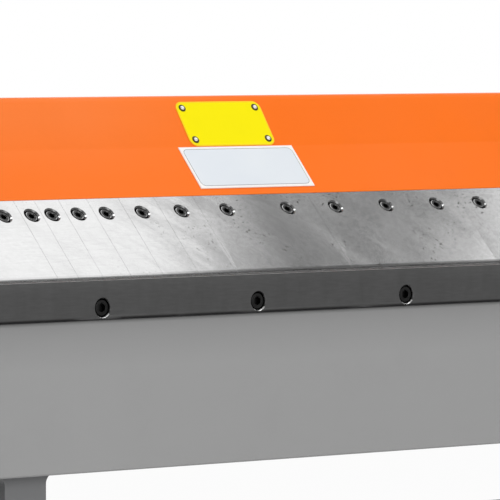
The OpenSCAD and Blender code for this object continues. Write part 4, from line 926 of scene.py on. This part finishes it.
# %% [markdown]
# The angle scale shows how far the apron is folded. Its marks are cut into the rim and filled with
# black: a short one every five degrees, a long one every fifteen, and a number at every thirtieth.
# A mark is a slim bar with broken edges, turned to point at the hinge. The numbers are text made
# mesh.

# %% Marks and numbers on the scale
SCALE_FACE, DOG_REST = 581, 187.02
MARK_T, MARK_EDGE = 0.25, 0.15
SHORT_SIZE, SHORT_R = (MARK_T * 2, 5, 0.7), 131.5
LONG_SIZE, LONG_R = (MARK_T * 2, 9, 0.9), 129.5
NUMBER_R, NUMBER_SIZE = 119, 9


def on_scale(fold, radius):
    """A point on the scale's face, and the turn that points a bar at the hinge."""
    angle = math.radians(DOG_REST - fold)
    return at_bend(SCALE_FACE, radius * math.cos(angle), radius * math.sin(angle)), (angle, 0, 0)


folds = range(0, 146, 5)
short = copies("short_marks", bar("mark", SHORT_SIZE, MARK_EDGE),
               [on_scale(fold, SHORT_R) for fold in folds if fold % 15])
long = copies("long_marks", bar("mark", LONG_SIZE, MARK_EDGE),
              [on_scale(fold, LONG_R) for fold in folds if fold % 15 == 0])
written = []
for fold in (0, 30, 60, 90, 120):
    drop_selection()
    bpy.ops.object.text_add(location=(0, 0, 0))
    number = bpy.context.object
    number.data.body = str(fold)
    number.data.align_x = number.data.align_y = "CENTER"
    number.data.size = NUMBER_SIZE * MM
    number.data.extrude = MARK_T * MM
    number.data.resolution_u = 3
    bpy.ops.object.convert(target="MESH")
    spot, _ = on_scale(fold, NUMBER_R)
    written.append(settle(number, spot, (math.pi / 2, 0, math.pi / 2)))
dress(joined("scale_marks", [short, long] + written), BLACK_COAT, "frame")
print("marks on the scale", len(folds))

# %% [markdown]
# The pedal's rubber mat has ribs along it, so that a shoe doesn't slip. They stop short of its
# ends and stand 2 mm proud of it.

# %% Ribs of the mat
MAT_HALF, MAT_FRONT, MAT_BACK, MAT_TOP = 529, -305, -257, 90
RIBS, RIB_SHORT, RIB_SECTION, RIB_UP, RIB_EDGE = 7, 2, (3.4, 3.2), 0.4, 0.9
pitch = (MAT_BACK - MAT_FRONT) / RIBS
rib = bar("mat_rib", (2 * (MAT_HALF - RIB_SHORT), *RIB_SECTION), RIB_EDGE)
places = [(Vector((0, MAT_FRONT + pitch * (i + 0.5), MAT_TOP + RIB_UP)) * MM, (0, 0, 0))
          for i in range(RIBS)]
dress(copies("mat_ribs", rib, places), RUBBER, "pedal")
print("mat ribs", RIBS)

# %% [markdown]
# The handles end in moulded grips with rings for the fingers and a rounded end. The whole grip is
# one turned shape whose radius dips at each groove.

# %% Grips
HANDLE_X, LEAN, GRIP_FROM = 677, math.radians(22), 257
GRIP_R, GROOVE_R = 17, 15.7
GRIP_COLLAR = [(13, 0), (15.5, 0), (GRIP_R, 1.5), (GRIP_R, 9), (15.2, 13), (15.2, 15),
               (GRIP_R, 19)]
GRIP_END = [(GRIP_R, 118), (16.4, 123), (14.2, 127), (10.5, 129.4), (5, 130), (1, 130)]
grooves = []
for start in range(22, 104, 11):
    grooves += [(GRIP_R, start), (GROOVE_R, start + 1.2), (GROOVE_R, start + 3.2),
                (GRIP_R, start + 4.4)]
lean = off_slope(LEAN, GRIP_FROM)
grip = turned("grip", GRIP_COLLAR + grooves + GRIP_END, 40)
grips = copies("ringed_grips", grip, both_sides(HANDLE_X, lean.y, lean.z, (LEAN, 0, 0)))
dress(grips, PLASTIC, "apron", "grips")
print("grips", [round(v, 3) for v in grips.dimensions])

# %% [markdown]
# A counterweight is a turned iron disc on a stud. Its outer face is relieved between the rim and
# the hub, and a washer and a nut hold it. The hinge pins have a grease nipple in their ends.

# %% Counterweights, nuts and nipples
WEIGHT_X, WEIGHT_Z, WEIGHT_T, PIN_END = 660, 250, 70, 668
OUT_TURN = {1: (0, math.pi / 2, 0), -1: (0, -math.pi / 2, 0)}


def both_ends(x, z):
    """Two places at the height of the hinge plus z, for what points out of the machine's sides."""
    return [(at_bend(side * x, 0, z), OUT_TURN[side]) for side in (-1, 1)]


weight = turned("weight", [(10, -12), (10, -0.01), (57, 0), (60, 3), (60, 67), (57, 70), (51, 70),
                           (49, 67.5), (27, 67.5), (25, 70), (1, 70)], 72)
weights = copies("turned_weights", weight, both_ends(WEIGHT_X, WEIGHT_Z))
dress(weights, BLACK_COAT, "apron", "counterweights")
washer = turned("washer", [(18, 0), (18, 2.4), (17.4, 3), (1, 3)], 48)
nut = turned("nut", [(15.5, 3), (17.3, 4.2), (17.3, 11.8), (15.5, 13), (9.2, 13), (1, 13)], 6)
stud = turned("stud", [(9, 13), (9, 16), (8, 17), (1, 17)], 32)
fixing = smooth(joined("weight_fixing", [washer, nut, stud]))
dress(copies("weight_nuts", fixing, both_ends(WEIGHT_X + WEIGHT_T, WEIGHT_Z)), ZINC, "apron")
nipple = turned("nipple", [(4.6, 0), (4.6, 2.6), (3, 3.4), (3, 5.4), (3.6, 6.2), (3.6, 7.4),
                           (2, 8.8), (0.6, 9)], 24)
dress(copies("grease_nipples", nipple, both_ends(PIN_END, 0)), ZINC, "apron")
print("weights", [round(v, 3) for v in weights.dimensions])

# %% [markdown]
# Washers spread the load of the frame's bolts, and steel caps close the knobs. Each is turned once
# and copied to its places.

# %% Washers and knob caps
BED_BOLTS = [(y, z) for y in (66, 140) for z in (-55, -150)]
STAND_BOLTS = [(y, z) for y in (50, 221.8) for z in (-262, -350)]
SIDE_IN, SIDE_OUT = 534, 559
LIFT_X, LIFT_Y, LIFT_CAP_R = 0.522, 0.022, 9
GAUGE_X, GAUGE_Y, GAUGE_CAP_R = 0.3, 0.168, 6.5
STOP_Y, STOP_Z, STOP_CAP_R = -0.085387, 0.987765, 7.5
washer = turned("bolt_washer", [(15.5, 0), (15.5, 2.2), (15, 2.7), (1, 2.7)], 40)
places = []
for x, bolts, facing in ((SIDE_OUT, BED_BOLTS, 1), (SIDE_IN, STAND_BOLTS, -1)):
    places += [(at_bend(side * x, y, z), OUT_TURN[side * facing])
               for side in (-1, 1) for y, z in bolts]
dress(copies("bolt_washers", washer, places), ZINC, "frame")


def knob_cap(name, radius, at, turn, body):
    """A low domed cap on a knob, at a point in metres."""
    cap = turned(name, [(radius, -0.6), (radius, 0.6), (radius * 0.86, 1.3), (radius * 0.5, 1.6),
                        (radius * 0.1, 1.7)], 32)
    return dress(settle(cap, at, turn), ZINC, body)


def reach_of(node, axis):
    """The lowest and the highest coordinate of a node along an axis."""
    along = [v.co[axis] for v in nodes[node].data.vertices]
    return min(along), max(along)


for side, hand in ((-1, "left"), (1, "right")):
    _, top = reach_of("lift_screw_" + hand, 2)
    knob_cap("lift_cap_" + hand, LIFT_CAP_R, (side * LIFT_X, LIFT_Y, top), (0, 0, 0),
             "lift_stop_" + hand[0])
    low, _ = reach_of("gauge_knob_" + hand, 2)
    knob_cap("gauge_cap_" + hand, GAUGE_CAP_R, (side * GAUGE_X, GAUGE_Y, low), (math.pi, 0, 0),
             "gauge_knob_" + hand[0])
_, out = reach_of("stop_knob", 0)
knob_cap("stop_cap", STOP_CAP_R, (out, STOP_Y, STOP_Z), OUT_TURN[1], "stop_clamp")
print("washers", len(places), "stop knob ends at", round(out, 4))

# %% [markdown]
# A pale floor that runs out of sight. It is shown nearly white to the camera, and keeps the
# machine's shadow.

# %% Floor
FLOOR_SIZE, FLOOR_Z, SEEN_WHITE = 60, -0.0005, 0.93
drop_selection()
bpy.ops.mesh.primitive_plane_add(size=FLOOR_SIZE, location=(0, 0, FLOOR_Z))
floor = bpy.context.object
floor.name = "floor"
r = Recipe("floor_paint", "none", roughness=0.8)
r.colour(r.mix(r.ramp(r.noise(0.6, 3), 0.3, 0.7), (0.86, 0.86, 0.86), (0.9, 0.9, 0.9)))
glow = r.add("ShaderNodeEmission")
path = r.add("ShaderNodeLightPath")
blend = r.add("ShaderNodeMixShader")
r.link(r.times(path.outputs["Is Camera Ray"], SEEN_WHITE), blend.inputs["Fac"])
r.link(r.surface.outputs["BSDF"], blend.inputs[1])
r.link(glow.outputs["Emission"], blend.inputs[2])
r.link(blend.outputs["Shader"], r.tree.nodes["Material Output"].inputs["Surface"])
floor.data.materials.append(r.material)
print("floor", FLOOR_SIZE)

# %% [markdown]
# The sky is plain white. The camera sees it at full strength, matt surfaces are lit by less of it,
# and polished steel mirrors a bright horizon under a darker ceiling.

# %% Sky
SKY, HORIZON, CEILING = 0.6, 1.0, 0.45
CEILING_FROM, CEILING_FULL = 0.3, 0.6
world = bpy.data.worlds.new("studio")
bpy.context.scene.world = world
world.use_nodes = True
tree = world.node_tree
sky = tree.nodes["Background"]
sky.inputs["Color"].default_value = (1, 1, 1, 1)
path = tree.nodes.new("ShaderNodeLightPath")
space = tree.nodes.new("ShaderNodeTexCoord")
split = tree.nodes.new("ShaderNodeSeparateXYZ")
tree.links.new(space.outputs["Generated"], split.inputs["Vector"])
ceiling = tree.nodes.new("ShaderNodeMapRange")
for key, value in (("From Min", CEILING_FROM), ("From Max", CEILING_FULL),
                   ("To Min", HORIZON - SKY), ("To Max", CEILING - SKY)):
    ceiling.inputs[key].default_value = value
tree.links.new(split.outputs["Z"], ceiling.inputs["Value"])


def brightest(*sources):
    """The larger of two sockets in the sky's own network."""
    node = tree.nodes.new("ShaderNodeMath")
    node.operation = "MAXIMUM"
    for socket, source in zip(node.inputs, sources):
        tree.links.new(source, socket)
    return node.outputs["Value"]


mirrored = brightest(path.outputs["Is Glossy Ray"], path.outputs["Is Transmission Ray"])
reflected = tree.nodes.new("ShaderNodeMath")
reflected.operation = "MULTIPLY_ADD"
reflected.inputs[2].default_value = SKY
tree.links.new(mirrored, reflected.inputs[0])
tree.links.new(ceiling.outputs["Result"], reflected.inputs[1])
tree.links.new(brightest(path.outputs["Is Camera Ray"], reflected.outputs["Value"]),
               sky.inputs["Strength"])
print("sky", SKY, "seen in metal", HORIZON, "to", CEILING)

# %% [markdown]
# Soft light comes from wide panels. Two hang overhead where the fingers' face mirrors them, one
# shines from high up behind on the left, and one fills the shadows from the front.

# %% Panels of light
PANELS = (("overhead", (1.53, -0.4, 4.3), (1.53, -0.4, 0), 2.07, 2.6, 1.66),
          ("right_side", (3.86, -0.4, 4.3), (3.86, -0.4, 0), 1.05, 2.6, 2.8),
          ("rim_spot", (-1.42, 0.75, 4.1), (0, -0.15, 0.97), 1.2, 1.2, 5.0),
          ("front", (-1.2, -4.6, 2.6), (0, -0.1, 0.9), 3.0, 2.0, 3.2))


def softbox(name, at, target, width, height, radiance):
    """A rectangular panel that faces target."""
    light = bpy.data.lights.new(name, "AREA")
    light.shape = "RECTANGLE"
    light.size, light.size_y = width, height
    light.energy = radiance * math.pi * width * height
    lamp = bpy.data.objects.new(name, light)
    lamp.location = at
    lamp.rotation_mode = "QUATERNION"
    lamp.rotation_quaternion = (Vector(target) - Vector(at)).to_track_quat("-Z", "Y")
    bpy.context.scene.collection.objects.link(lamp)


for panel in PANELS:
    softbox(*panel)
print("panels of light", len(PANELS))

# %% [markdown]
# The camera stands far off at the front left with a long lens, a little above the bend line, and
# looks down by two and a half degrees.

# %% Camera
EYE, YAW, TILT = (-3.1719, -3.9482, 1.1465), math.radians(39), math.radians(2.56)
camera = bpy.data.cameras.new("camera")
camera.lens = 350.4
camera.sensor_width = 36
camera.clip_end = 100
eye = bpy.data.objects.new("camera", camera)
eye.location = EYE
eye.rotation_euler = (math.pi / 2 - TILT, 0, -YAW)
bpy.context.scene.collection.objects.link(eye)
bpy.context.scene.camera = eye
bpy.context.scene.view_settings.view_transform = "Standard"
print("lens", camera.lens)
